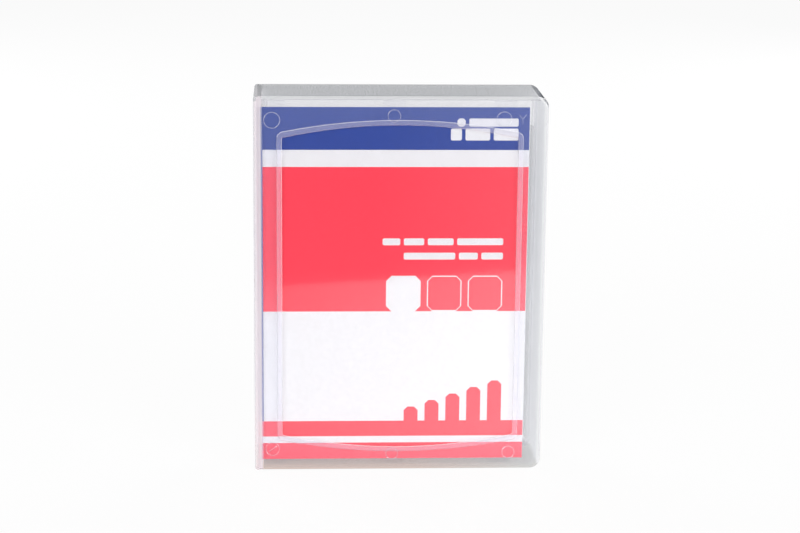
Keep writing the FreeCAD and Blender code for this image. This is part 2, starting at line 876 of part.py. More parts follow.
def drive_casting():
    """Cast base of the drive, with its basin, screw holes and the steps for the board and plug."""
    board_side = board_margin - board_gap
    board_top = drive_bottom + board_length + board_gap
    header_half = header_width / 2 + board_gap
    cuts = [
        basin(),
        block(drive_left, drive_right, drive_front, lid_back, drive_bottom, drive_top),
        block(
            drive_left + board_side, drive_right - board_side, casting_back, drive_back,
            drive_bottom, board_top),
        block(drive_left, drive_right, board_back, drive_back, drive_bottom, drive_top),
        block(
            cart_x - header_half, cart_x + header_half, casting_back - header_height - board_gap,
            casting_back, drive_bottom, drive_bottom + header_depth + board_gap),
    ]
    for x, z in lid_screw_places():
        cuts.append(rod(x, z, drive_screw_shank, lid_back, lid_back + drive_screw_depth))
    for x, z in board_screw_places():
        cuts.append(rod(x, z, drive_screw_shank, casting_back - floor_thick / 2, casting_back))
    return drive_body().cut(cuts).removeSplitter()


def drive_lid():
    """Stamped lid over the basin."""
    lid = rounded_plate(
        drive_left + lid_inset, drive_right - lid_inset, drive_bottom + lid_inset, drive_top - lid_inset,
        drive_front + drive_screw_height, lid_back, drive_corner, drive_corner)
    return lid.cut([rod(x, z, drive_screw_shank, drive_front, lid_back) for x, z in lid_screw_places()])


def flat_screw(x, z, face, outward, depth):
    """Thin-headed screw whose head sits on a face and points outward along Y."""
    head = rod(x, z, drive_screw_radius, face, face + outward * drive_screw_height)
    shank = rod(x, z, drive_screw_shank, face, face - outward * depth)
    return head.fuse(shank).removeSplitter()


def lid_screws():
    """Screws of the drive's lid."""
    face = drive_front + drive_screw_height
    depth = lid_back - face + drive_screw_depth
    return Part.makeCompound([flat_screw(x, z, face, -1, depth) for x, z in lid_screw_places()])


def board_screw_places():
    """Three screws of the drive's circuit board."""
    side = drive_width / 2 - board_margin - drive_screw_inset
    high = drive_bottom + board_length - drive_screw_inset
    low = drive_bottom + header_depth + 2 * drive_screw_inset
    return [(cart_x - side, high), (cart_x + side, high), (cart_x + side, low)]


def circuit_board():
    """Board on the back of the drive."""
    board = rounded_plate(
        drive_left + board_margin, drive_right - board_margin, drive_bottom, drive_bottom + board_length,
        board_front, board_back, board_corner, board_corner)
    holes = [rod(x, z, drive_screw_shank, board_front, board_back) for x, z in board_screw_places()]
    return board.cut(holes)


def board_screws():
    """Screws of the circuit board."""
    depth = board_thick + board_gap + floor_thick / 2
    return Part.makeCompound([flat_screw(x, z, board_back, 1, depth) for x, z in board_screw_places()])


def drive_header():
    """Connector on the drive's foot, an open-ended shroud."""
    front = casting_back - header_height
    half = header_width / 2
    body = block(
        cart_x - half, cart_x + half, front, board_front, drive_bottom, drive_bottom + header_depth)
    pocket = block(
        cart_x - half + header_wall, cart_x + half - header_wall,
        front + header_wall, board_front - header_wall, drive_bottom, drive_bottom + header_pocket)
    return body.cut(pocket)


def drive_receptacle():
    """Plug on the adapter board, seated in the drive's header."""
    plug = block(cart_x - plug_half, cart_x + plug_half, plug_front, plug_back, plug_bottom, plug_top)
    slot = block(
        cart_x - plug_half, cart_x + plug_half, adapter_front, adapter_back,
        plug_bottom, plug_bottom + adapter_seat)
    return plug.cut(slot)


def adapter_board():
    """Small board that links the drive to the cartridge's own connector."""
    half = drive_width / 2 - bumper_wrap / 2 - adapter_side_gap
    low = cart_bottom + connector_recess + connector_length - adapter_seat
    high = plug_bottom + adapter_seat
    plate = rounded_plate(
        cart_x - half, cart_x + half, low, high, adapter_front, adapter_back,
        adapter_corner, adapter_corner)
    for side in (-1, 1):
        plate = plate.cut(block(
            cart_x + side * plug_half, cart_x + side * half, adapter_front, adapter_back,
            plug_bottom, high))
    return plate


def cartridge_connector():
    """Connector at the foot of the cartridge, with a slot for the bay's blade."""
    half = connector_width / 2
    low = cart_bottom + connector_recess
    high = low + connector_length
    body = block(
        cart_x - half, cart_x + half, cart_y - connector_height / 2, cart_y + connector_height / 2,
        low, high)
    body = body.makeChamfer(connector_corner, edges_along(body, ALONG_Z))
    slot_half = half - connector_slot_margin
    slot = block(
        cart_x - slot_half, cart_x + slot_half, cart_y - connector_slot / 2, cart_y + connector_slot / 2,
        low, low + connector_slot_depth)
    board_slot = block(
        cart_x - half, cart_x + half, adapter_front, adapter_back, high - adapter_seat, high)
    return body.cut([slot, board_slot])


def shock_bumpers():
    """Four soft corner blocks that hold the drive inside the housing."""
    hollow = drive_body()
    spans = (
        (drive_bottom - bumper_underlap, drive_bottom + bumper_wrap),
        (drive_top - bumper_wrap, wall_top - bumper_gap),
    )
    bumpers = []
    for side in (-1, 1):
        inner_x = cart_x + side * (drive_width / 2 - bumper_wrap / 2)
        outer_x = cart_x + side * (cart_width / 2 - shell_wall - bumper_gap)
        for low, high in spans:
            soft = bevelled_plate(
                inner_x, outer_x, low, high, wall_front + bumper_gap, wall_back - bumper_gap, bumper_corner)
            bumpers.append(soft.cut(hollow))
    return Part.makeCompound(bumpers)


def spindle_motor():
    """Fixed shaft on the casting's floor that the hub turns on."""
    return disc(cart_x, spindle_z, shaft_radius, clamp_back + shaft_end_gap, basin_back)


def spindle_hub():
    """Turning hub that carries the platters."""
    flange_front = rear_platter + platter_thick / 2
    flange_back = flange_front + hub_flange_thick
    flange = disc(cart_x, spindle_z, hub_flange_radius, flange_front, flange_back)
    core = disc(cart_x, spindle_z, platter_bore, clamp_back, flange_front)
    bore = disc(cart_x, spindle_z, shaft_radius + shaft_play, clamp_back, flange_back)
    return flange.fuse(core).cut(bore).removeSplitter()


def platters():
    """Two thin magnetic disks."""
    half = platter_thick / 2
    disks = []
    for level in (rear_platter, front_platter):
        disks.append(tube(cart_x, spindle_z, platter_radius, platter_bore, level - half, level + half))
    return Part.makeCompound(disks)


def platter_spacer():
    """Ring between the two disks."""
    return tube(
        cart_x, spindle_z, platter_bore + spacer_width, platter_bore,
        front_platter + platter_thick / 2, rear_platter - platter_thick / 2)


def platter_clamp():
    """Plate that holds the disks down on the hub."""
    return disc(cart_x, spindle_z, clamp_radius, clamp_back - clamp_thick, clamp_back)


def clamp_screws():
    """Three screw heads on the clamp."""
    seat = clamp_back - clamp_thick
    reach = platter_bore - 2 * clamp_screw_radius
    heads = []
    for turn in range(3):
        angle = math.radians(90 + 120 * turn)
        x = cart_x + reach * math.cos(angle)
        z = spindle_z + reach * math.sin(angle)
        heads.append(rod(x, z, clamp_screw_radius, seat - clamp_screw_height, seat))
    return Part.makeCompound(heads)


def pivot_post():
    """Fixed post that the arm swings on."""
    return disc(pivot_x, pivot_z, pivot_radius, lid_back + board_gap, basin_back)


def swung(shape):
    """Turn a piece drawn along +X at the pivot to the parked direction."""
    turned = shape.copy()
    turned.rotate(V(pivot_x, 0, pivot_z), V(0, -1, 0), parked_angle)
    return turned


def blade_levels():
    """Mid depths of the three arm blades: behind, between and in front of the disks."""
    outside = (platter_pitch + platter_thick + arm_thick) / 4
    return rear_platter + outside, platter_mid, front_platter - outside


def tapered(start, length, root, tip, y0, y1):
    """Blade that narrows from its root to its tip, drawn along +X at the pivot's height."""
    outline = [
        (start, pivot_z - root / 2),
        (start + length, pivot_z - tip / 2),
        (start + length, pivot_z + tip / 2),
        (start, pivot_z + root / 2),
    ]
    return upright(outline, y0, y1)


def actuator_arm():
    """Hub, three tapered blades and the tail that holds the coil."""
    levels = blade_levels()
    half = arm_thick / 2
    y_low = min(levels) - half
    y_high = max(levels) + half
    hub = disc(pivot_x, pivot_z, arm_hub_radius, y_low, y_high)
    added = [sector_at_coil(arm_hub_radius / 2, coil_inner, 2 * coil_half_angle)]
    for level in levels:
        added.append(tapered(pivot_x, arm_length, arm_root_width, arm_tip_width, level - half, level + half))
    bore = disc(pivot_x, pivot_z, pivot_radius + pivot_play, y_low, y_high)
    return swung(hub.fuse(added).cut(bore).removeSplitter())


def sector(inner, outer, start, end, y0, y1):
    """Part of a flat ring round the pivot, between two angles from +X."""
    def at(radius, angle):
        turn = math.radians(angle)
        return V(pivot_x + radius * math.cos(turn), y0, pivot_z + radius * math.sin(turn))

    middle = (start + end) / 2
    edges = [
        Part.Arc(at(outer, start), at(outer, middle), at(outer, end)).toShape(),
        Part.LineSegment(at(outer, end), at(inner, end)).toShape(),
        Part.Arc(at(inner, end), at(inner, middle), at(inner, start)).toShape(),
        Part.LineSegment(at(inner, start), at(outer, start)).toShape(),
    ]
    return Part.Face(Part.Wire(edges)).extrude(V(0, y1 - y0, 0))


def sector_at_coil(inner, outer, half_angle):
    """Flat sector behind the pivot, at the coil's depth, before it is swung."""
    y0 = platter_mid - coil_thick / 2
    return sector(inner, outer, 180 - half_angle, 180 + half_angle, y0, y0 + coil_thick)


def voice_coil():
    """Flat wound coil behind the pivot."""
    outer = sector_at_coil(coil_inner, coil_outer, coil_half_angle)
    shrink = math.degrees(2 * coil_width / (coil_inner + coil_outer))
    inner = sector_at_coil(coil_inner + coil_width, coil_outer - coil_width, coil_half_angle - shrink)
    return swung(outer.cut(inner))


def head_suspensions():
    """Four spring strips that carry the heads from the blade tips, one for each disk face."""
    start = pivot_x + arm_length - suspension_width
    tip_width = 2 * suspension_width / 5
    rear, middle, front = blade_levels()
    half = arm_thick / 2
    fronts = (
        rear - half - suspension_thick,
        middle - half - suspension_thick,
        middle + half,
        front + half,
    )
    strips = []
    for y0 in fronts:
        strip = tapered(start, suspension_length, suspension_width, tip_width, y0, y0 + suspension_thick)
        strips.append(swung(strip))
    return Part.makeCompound(strips)


def yoke(y0):
    """Sector plate over the whole sweep of the coil."""
    return sector(
        yoke_inner, yoke_outer, coil_start - yoke_end_angle, coil_end + yoke_end_angle,
        y0, y0 + yoke_thick)


def rear_yoke():
    """Steel plate on the casting's floor behind the coil."""
    return yoke(basin_back - yoke_thick)


def front_yoke():
    """Steel plate under the lid, in front of the coil."""
    return yoke(lid_back + board_gap)


def coil_magnets():
    """Magnets on the inner faces of both yoke plates, clear of the coil."""
    inner = yoke_inner + yoke_coil_margin
    outer = yoke_outer - yoke_coil_margin
    clear = coil_thick / 2 + magnet_gap
    rear_face = basin_back - yoke_thick
    front_face = lid_back + board_gap + yoke_thick
    rear_start = max(rear_face - magnet_thick, platter_mid + clear)
    front_end = min(front_face + magnet_thick, platter_mid - clear)
    rear = sector(inner, outer, coil_start, coil_end, rear_start, rear_face)
    front = sector(inner, outer, coil_start, coil_end, front_face, front_end)
    return Part.makeCompound([rear, front])


def parking_ramp():
    """Comb beside the disks, with a slot for each disk's rim, where the heads rest."""
    start = pivot_x + arm_reach - ramp_lap
    end = start + ramp_length
    half = ramp_width / 2
    y0 = platter_mid - ramp_thick / 2
    y1 = platter_mid + ramp_thick / 2
    comb = block(start, end, y0, y1, pivot_z - half, pivot_z + half)
    slots = []
    for level in (rear_platter, front_platter):
        slots.append(block(
            start, start + ramp_groove_depth, level - ramp_groove / 2, level + ramp_groove / 2,
            pivot_z - half, pivot_z + half))
    foot = block(
        start + ramp_groove_depth + ramp_foot_gap, end, y0, basin_back, pivot_z - half, pivot_z + half)
    return swung(comb.cut(slots).fuse(foot).removeSplitter())


def breather_filter():
    """Square filter pad on the casting's floor."""
    x = drive_right - filter_side_inset
    z = drive_bottom + filter_rise
    half = filter_size / 2
    return block(x - half, x + half, basin_back - filter_thick, basin_back, z - half, z + half)


NODES = {
    "case_tray": case_tray,
    "case_spine": case_spine,
    "case_cover": case_cover,
    "insert_front_leaf": insert_front_leaf,
    "insert_spine_leaf": insert_spine_leaf,
    "print_blue_front": print_blue_front,
    "print_red_front": print_red_front,
    "print_blue_spine": print_blue_spine,
    "print_red_spine": print_red_spine,
    "cartridge_rear_shell": cartridge_rear_shell,
    "cartridge_front_shell": cartridge_front_shell,
    "grip_cap": grip_cap,
    "write_protect_slider": write_protect_slider,
    "shell_screws": shell_screws,
    "shock_bumpers": shock_bumpers,
    "adapter_board": adapter_board,
    "cartridge_connector": cartridge_connector,
    "drive_receptacle": drive_receptacle,
    "drive_casting": drive_casting,
    "drive_lid": drive_lid,
    "lid_screws": lid_screws,
    "circuit_board": circuit_board,
    "board_screws": board_screws,
    "drive_header": drive_header,
    "spindle_motor": spindle_motor,
    "spindle_hub": spindle_hub,
    "platters": platters,
    "platter_spacer": platter_spacer,
    "platter_clamp": platter_clamp,
    "clamp_screws": clamp_screws,
    "pivot_post": pivot_post,
    "actuator_arm": actuator_arm,
    "voice_coil": voice_coil,
    "head_suspensions": head_suspensions,
    "rear_yoke": rear_yoke,
    "front_yoke": front_yoke,
    "coil_magnets": coil_magnets,
    "parking_ramp": parking_ramp,
    "breather_filter": breather_filter,
}

os.makedirs("parts", exist_ok=True)
print("case", round(case_width, 3), round(case_height, 3), round(case_depth, 3))
print("spindle", round(cart_x, 3), round(platter_mid, 3), round(spindle_z, 3))
print("arm pivot", round(pivot_x, 3), round(pivot_z, 3), "parked at", round(parked_angle, 3))
for name, make in NODES.items():
    shape = make()
    shape.exportStep("parts/" + name + ".step")
    print(name, "solids", len(shape.Solids), "valid", shape.isValid(), "volume", round(shape.Volume, 2))
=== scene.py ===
# %% [markdown]
# # A disk cartridge in its clear storage case
# The part is a hard, see-through case with a printed card behind its front, and a dark cartridge
# with a small disk drive inside. The shapes already exist: they come as a imported model, one
# object for each real piece, so this lesson is mostly about light and materials. At the end a few
# moulded details that are too fine for the model are added. Everything is in metres, +Z is
# up, and the printed front faces -Y.

# %% Load the model
import json
import math
import bpy
import bmesh
from mathutils import Matrix, Vector


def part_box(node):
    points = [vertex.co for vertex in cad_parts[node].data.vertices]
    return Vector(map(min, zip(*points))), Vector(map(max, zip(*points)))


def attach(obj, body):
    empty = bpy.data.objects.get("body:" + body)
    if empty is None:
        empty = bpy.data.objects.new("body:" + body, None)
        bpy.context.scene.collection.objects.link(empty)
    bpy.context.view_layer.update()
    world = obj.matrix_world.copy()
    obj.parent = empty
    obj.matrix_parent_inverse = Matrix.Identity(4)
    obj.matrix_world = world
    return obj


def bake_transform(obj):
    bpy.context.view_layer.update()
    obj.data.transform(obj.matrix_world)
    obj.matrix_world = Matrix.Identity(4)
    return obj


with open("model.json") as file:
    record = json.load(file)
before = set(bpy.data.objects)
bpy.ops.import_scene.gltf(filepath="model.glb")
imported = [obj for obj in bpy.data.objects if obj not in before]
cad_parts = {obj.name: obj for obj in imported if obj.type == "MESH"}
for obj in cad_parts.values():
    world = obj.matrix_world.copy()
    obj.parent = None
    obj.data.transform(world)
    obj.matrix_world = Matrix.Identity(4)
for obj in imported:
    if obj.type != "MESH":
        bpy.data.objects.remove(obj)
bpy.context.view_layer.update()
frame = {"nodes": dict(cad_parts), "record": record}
MM = 0.001
case_low, case_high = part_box("case_cover")

# %% [markdown]
# ## The camera
# A product photograph is taken with a long lens from some way off, so that upright edges stay
# almost parallel. The place below was found by comparing known corners of the case with where
# they fall in the picture: about 0.8 m away, above the case, looking down at 13 degrees. A camera
# looks along its own -Z, so its matrix is built from three directions instead of three angles.

# %% Place the camera
LENS_MM = 95.54
SENSOR_MM = 36.0
camera_place = Vector((-38.69, -771.95, 258.67)) * MM
look_right = Vector((0.99876462, -0.04870154, 0.00986888))
look_ahead = Vector((0.04966247, 0.97152412, -0.23167763))
look_up = look_right.cross(look_ahead)
camera_data = bpy.data.cameras.new("camera")
camera_data.lens = LENS_MM
camera_data.sensor_width = SENSOR_MM
camera = bpy.data.objects.new("camera", camera_data)
bpy.context.scene.collection.objects.link(camera)
turn = Matrix((look_right, look_up, -look_ahead)).transposed().to_4x4()
camera.matrix_world = Matrix.Translation(camera_place) @ turn
bpy.context.scene.camera = camera
middle = (case_low + case_high) / 2
print("the camera stands", round((camera_place - middle).length, 3), "m from the case")

# %% [markdown]
# ## Two small helpers
# Colours are picked as they look on a screen, and a renderer wants them linear, so one function
# turns a hex value into linear light, with the numbers of the sRGB standard. A material is a tree
# of nodes, and the second helper adds one node, so that each line of a material reads as one step.
# An input is either a fixed value or comes from another node. Nodes such as Mix have one output
# for each kind of data, of which only the one in use is enabled, and that is the one taken.
#
# Inputs go by their name, or by their place where several share a name. A Map Range takes the
# value at 0, the range that it comes from at 1 and 2, and the range that it goes to at 3 and 4. A
# Mix takes the mask at 0, and two numbers at 2 and 3 or two colours at 6 and 7.

# %% Colour and node helpers
def linear(hex_colour):
    """Hex colour as it looks on a screen -> linear red, green, blue and an alpha of 1."""
    parts = [int(hex_colour[i:i + 2], 16) / 255 for i in (1, 3, 5)]
    bent = [p / 12.92 if p <= 0.04045 else ((p + 0.055) / 1.055) ** 2.4 for p in parts]
    return (*bent, 1.0)


def add(tree, kind, settings=(), inputs=()):
    """Adds one node. An input is a value, a socket, or a node whose first enabled output feeds it."""
    node = tree.nodes.new(kind)
    for name, value in dict(settings).items():
        setattr(node, name, value)
    for name, value in dict(inputs).items():
        if isinstance(value, bpy.types.Node):
            value = next(socket for socket in value.outputs if socket.enabled)
        if isinstance(value, bpy.types.NodeSocket):
            tree.links.new(value, node.inputs[name])
        else:
            node.inputs[name].default_value = value
    return node


def start_material(name):
    """New material with an empty tree, and the tree itself."""
    material = bpy.data.materials.new(name)
    material.use_nodes = True
    material.node_tree.nodes.clear()
    return material, material.node_tree


def finish_material(tree, surface):
    """Connects a shader to the material's output."""
    add(tree, "ShaderNodeOutputMaterial", inputs={"Surface": surface})

# %% [markdown]
# ## The table
# Product light for a clear case is soft: a white table, a white room and large lamps. The table
# here ends about 30 cm in front of the case, as a real one does, and past its edge the room is
# dim. That matters, because the polished front works as a weak mirror: its lower half shows the
# white table and its upper half the dim room. The edge runs at a slant, which slants the border
# between the two in the mirror image.

# %% White table
TABLE_FRONT_MM = 312.0
TABLE_SLANT = 0.25
TABLE_HALF_MM = 2500.0
TABLE_DROP_MM = 0.05
table_corners = [
    (-TABLE_HALF_MM, -TABLE_FRONT_MM + TABLE_SLANT * TABLE_HALF_MM),
    (TABLE_HALF_MM, -TABLE_FRONT_MM - TABLE_SLANT * TABLE_HALF_MM),
    (TABLE_HALF_MM, TABLE_HALF_MM),
    (-TABLE_HALF_MM, TABLE_HALF_MM),
]
table_mesh = bmesh.new()
table_points = [table_mesh.verts.new((x * MM, y * MM, -TABLE_DROP_MM * MM)) for x, y in table_corners]
bmesh.ops.contextual_create(table_mesh, geom=table_points)
table_data = bpy.data.meshes.new("table")
table_mesh.to_mesh(table_data)
table_mesh.free()
table = bpy.data.objects.new("table", table_data)
bpy.context.scene.collection.objects.link(table)
print("table of", 2 * TABLE_HALF_MM * MM, "m, its front edge", TABLE_FRONT_MM, "mm before the case")

# %% [markdown]
# ### White laminate
# A white laminate is smooth, matt and has no pattern of its own. To the camera it is plain white,
# which is what the Light Path node is for: it tells which kind of ray asks. A small share of the
# table stays a real matt surface, so that the soft shadow under the case isn't lost. To the gloss
# of the case the table isn't even: painted light fades it towards its front edge and to the left,
# and a painted shadow of the case lies on its last few centimetres before the case.

# %% How bright the table is, and to whom
FADE_END_MM = -60.0
LEVEL_AT_EDGE = 0.7
LEFT_MM, RIGHT_MM = -60.0, 90.0
LEVEL_LEFT, LEVEL_RIGHT = 0.5, 1.45
SHADOW_FROM_MM, SHADOW_FULL_MM = -60.0, -20.0
LEVEL_IN_SHADOW = 0.6
material, tree = start_material("white laminate table")
coordinates = add(tree, "ShaderNodeTexCoord")
at = add(tree, "ShaderNodeSeparateXYZ", inputs={0: coordinates.outputs["Object"]})
# painted light: to the gloss of the case the table fades towards its edge and to the left
deep = add(tree, "ShaderNodeMapRange", inputs={
    0: at.outputs["Y"], 1: -TABLE_FRONT_MM * MM, 2: FADE_END_MM * MM, 3: LEVEL_AT_EDGE, 4: 1.0})
wide = add(tree, "ShaderNodeMapRange", inputs={
    0: at.outputs["X"], 1: LEFT_MM * MM, 2: RIGHT_MM * MM, 3: LEVEL_LEFT, 4: LEVEL_RIGHT})
# painted shadow of the case on the table, as the case's gloss sees it
painted_case_shadow = add(tree, "ShaderNodeMapRange", inputs={
    0: at.outputs["Y"], 1: SHADOW_FROM_MM * MM, 2: SHADOW_FULL_MM * MM, 3: 1.0, 4: LEVEL_IN_SHADOW})
even = add(tree, "ShaderNodeMath", {"operation": "MULTIPLY"}, {0: deep, 1: wide})
near = add(tree, "ShaderNodeMath", {"operation": "MULTIPLY"}, {0: even, 1: painted_case_shadow})
path = add(tree, "ShaderNodeLightPath")
seen = add(tree, "ShaderNodeMath", {"operation": "MAXIMUM"}, {
    0: path.outputs["Is Camera Ray"], 1: path.outputs["Is Transmission Ray"]})
glow = add(tree, "ShaderNodeMath", {"operation": "MULTIPLY"}, {0: path.outputs["Is Glossy Ray"], 1: near})
level = add(tree, "ShaderNodeMath", {"operation": "MAXIMUM"}, {0: seen, 1: glow})
print("in the gloss of the case the table has", LEVEL_AT_EDGE, "at its edge and", LEVEL_IN_SHADOW, "close by")

# %% [markdown]
# Little light arrives under the closed case. That shows only where the eye looks down through a
# wall, so this shade lies on the case's own footprint and is drawn for rays that have passed a
# wall. The red print warms it on the left, and towards the free side it is plain grey.

# %% Shade under the case
SHADE_EDGE_MM = 0.8
WARM_TO_MM, GREY_FROM_MM = 5.0, 50.0
WHITE_SHARE = 0.93
under = []
for axis, reach in (("X", case_high.x), ("Y", -case_low.y)):
    away = add(tree, "ShaderNodeMath", {"operation": "ABSOLUTE"}, {0: at.outputs[axis]})
    under.append(add(tree, "ShaderNodeMapRange", inputs={
        0: away, 1: reach - SHADE_EDGE_MM * MM, 2: reach, 3: 1.0, 4: 0.0}))
covered = add(tree, "ShaderNodeMath", {"operation": "MULTIPLY"}, {0: under[0], 1: under[1]})
through_wall = add(tree, "ShaderNodeMath", {"operation": "MINIMUM"}, {
    0: path.outputs["Transparent Depth"], 1: 1.0})
shade = add(tree, "ShaderNodeMath", {"operation": "MULTIPLY"}, {0: covered, 1: through_wall})
side = add(tree, "ShaderNodeMapRange", inputs={
    0: at.outputs["X"], 1: WARM_TO_MM * MM, 2: GREY_FROM_MM * MM, 3: 0.0, 4: 1.0})
dusk = add(tree, "ShaderNodeMix", {"data_type": "RGBA"}, {
    0: side, 6: linear("#E0C8BD"), 7: linear("#DADAD6")})
tint = add(tree, "ShaderNodeMix", {"data_type": "RGBA"}, {0: shade, 6: linear("#FFFFFF"), 7: dusk})
white = add(tree, "ShaderNodeMath", {"operation": "MAXIMUM"}, {0: seen, 1: path.outputs["Is Glossy Ray"]})
share = add(tree, "ShaderNodeMath", {"operation": "MULTIPLY"}, {0: white, 1: WHITE_SHARE})
matt = add(tree, "ShaderNodeBsdfDiffuse", inputs={"Color": linear("#F4F4F4")})
bright = add(tree, "ShaderNodeEmission", inputs={"Color": tint, "Strength": level})
finish_material(tree, add(tree, "ShaderNodeMixShader", inputs={0: share, 1: matt, 2: bright}))
table_data.materials.append(material)
print("the table keeps", round(1 - WHITE_SHARE, 2), "of a real matt surface")

# %% [markdown]
# ## The room
# The room is white to the camera and to anything that looks through the clear case. For gloss it
# is white above the horizon and dim below it, with a little more light towards the right, which
# is where the front's faint sheen comes from. It is made as a world of nodes instead of a picture,
# because it only needs these few levels.

# %% White room
ROOM_LIGHT = 0.30
SHEEN_FROM, SHEEN_TO = 0.04, 0.16
DIM_LEFT, DIM_RIGHT = 0.02, 0.38
HORIZON_BLUR = 0.03
world = bpy.data.worlds.new("white room")
world.use_nodes = True
tree = world.node_tree
tree.nodes.clear()
coordinates = add(tree, "ShaderNodeTexCoord")
at = add(tree, "ShaderNodeSeparateXYZ", inputs={0: coordinates.outputs["Generated"]})
dim = add(tree, "ShaderNodeMapRange", inputs={
    0: at.outputs["X"], 1: SHEEN_FROM, 2: SHEEN_TO, 3: DIM_LEFT, 4: DIM_RIGHT})
above = add(tree, "ShaderNodeMapRange", inputs={
    0: at.outputs["Z"], 1: -HORIZON_BLUR, 2: HORIZON_BLUR, 3: dim, 4: 1.0})
path = add(tree, "ShaderNodeLightPath")
seen = add(tree, "ShaderNodeMath", {"operation": "MAXIMUM"}, {
    0: path.outputs["Is Camera Ray"], 1: path.outputs["Is Transmission Ray"]})
mirrored = add(tree, "ShaderNodeMath", {"operation": "MULTIPLY"}, {
    0: path.outputs["Is Glossy Ray"], 1: above})
shown = add(tree, "ShaderNodeMath", {"operation": "MAXIMUM"}, {0: seen, 1: mirrored})
lit = add(tree, "ShaderNodeMath", {"operation": "MULTIPLY"}, {0: above, 1: ROOM_LIGHT})
strength = add(tree, "ShaderNodeMath", {"operation": "MAXIMUM"}, {0: shown, 1: lit})
room = add(tree, "ShaderNodeBackground", inputs={"Color": linear("#FFFFFF"), "Strength": strength})
add(tree, "ShaderNodeOutputWorld", inputs={"Surface": room})
bpy.context.scene.world = world
bpy.context.scene.view_settings.view_transform = "Standard"
print("the room lights the case at", ROOM_LIGHT)

# %% [markdown]
# ## The lamps
# The lamps are wide squares, as softboxes are, so that their shadows are soft. From more than a
# metre away they stand only 40 cm high, so that they fill the printed front and leave the top of
# the case greyer, and two weaker ones behind the case make its milky walls glow from inside.

# %% Four soft lamps
FRONT_WATTS = 11.9
BACK_WATTS = 9.0


def soft_lamp(name, place_mm, size_mm, watts):
    """Square area lamp that faces the middle of the case."""
    data = bpy.data.lights.new(name, "AREA")
    data.shape = "SQUARE"
    data.size = size_mm * MM
    data.energy = watts
    lamp = bpy.data.objects.new(name, data)
    bpy.context.scene.collection.objects.link(lamp)
    lamp.location = Vector(place_mm) * MM
    lamp.rotation_euler = (middle - lamp.location).to_track_quat("-Z", "Y").to_euler()


soft_lamp("lamp_front_left", (-750, -1100, 420), 700, FRONT_WATTS)
soft_lamp("lamp_front_right", (850, -1050, 400), 700, FRONT_WATTS)
soft_lamp("lamp_back_left", (-850, 900, 380), 600, BACK_WATTS)
soft_lamp("lamp_back_right", (850, 900, 380), 600, BACK_WATTS)
print("lamps", {light.name: light.energy for light in bpy.data.lights})

# %% [markdown]
# ## Clear polypropylene
# The case is moulded in one shot from polypropylene. It is see-through but never as clear as
# glass: the plastic is a little milky, so every wall that the eye looks through adds some white.
# The mould is polished over the window inside the raised frame, satin around it, and finely
# etched on the walls, the back and the top, which look frosted. Glass with real refraction would
# need many light bounces and turns noisy, so here each wall is a mix: most light passes straight
# through, a share is scattered as in milk, and a thin gloss lies on top that grows towards
# glancing angles, as on any plastic.
#
# One finish covers a whole moulding, so it has to know which place it is on. Masks do that: each
# is a number from 0 to 1, worked out from Object coordinates, which stay with the piece when it
# turns. The first is 1 in the polished window, whose top and bottom edges are bowed: at the sides
# the edge is lower, by the bow times the square of the way across.

# %% Mask of the polished window
WINDOW_HALF_WIDTH_MM = 43.6
WINDOW_HALF_HEIGHT_MM = 57.0
WINDOW_BOW_MM = 4.7
WINDOW_X_MM = -0.3
WINDOW_Z_MM = 69.85


def window_mask(tree, at, height):
    """1 inside the raised frame; height is the distance above or below the window's middle."""
    across = add(tree, "ShaderNodeMath", {"operation": "MULTIPLY_ADD"}, {
        0: at.outputs["X"],
        1: 1 / (WINDOW_HALF_WIDTH_MM * MM),
        2: -WINDOW_X_MM / WINDOW_HALF_WIDTH_MM})
    square = add(tree, "ShaderNodeMath", {"operation": "POWER"}, {0: across, 1: 2.0})
    edge = add(tree, "ShaderNodeMath", {"operation": "MULTIPLY_ADD"}, {
        0: square, 1: -WINDOW_BOW_MM * MM, 2: (WINDOW_HALF_HEIGHT_MM + WINDOW_BOW_MM) * MM})
    low_enough = add(tree, "ShaderNodeMath", {"operation": "LESS_THAN"}, {0: height, 1: edge})
    narrow_enough = add(tree, "ShaderNodeMath", {"operation": "LESS_THAN"}, {0: square, 1: 1.0})
    return add(tree, "ShaderNodeMath", {"operation": "MULTIPLY"}, {0: low_enough, 1: narrow_enough})

# %% [markdown]
# The next masks go by depth, which is the distance to the front or the back from the middle of the
# case. The walls are etched up to 12 mm. Further out the plastic is clearer, then come the two
# plates, and on the front the raised frame, whose slopes are told by a normal that leans away. The
# card is held by small tabs that touch the plate in front of them, so that they can hardly be seen
# through it, and they get a mask of their own.

# %% Masks of the front's layers
CLEAR_INNER_MM = 12.2
PANEL_INNER_MM = 13.5
FRAME_FOOT_MM = -15.16
SLOPE_LIMIT = 0.93
TAB_OUTER_MM = 13.3
TAB_REACH_MM = 69.1


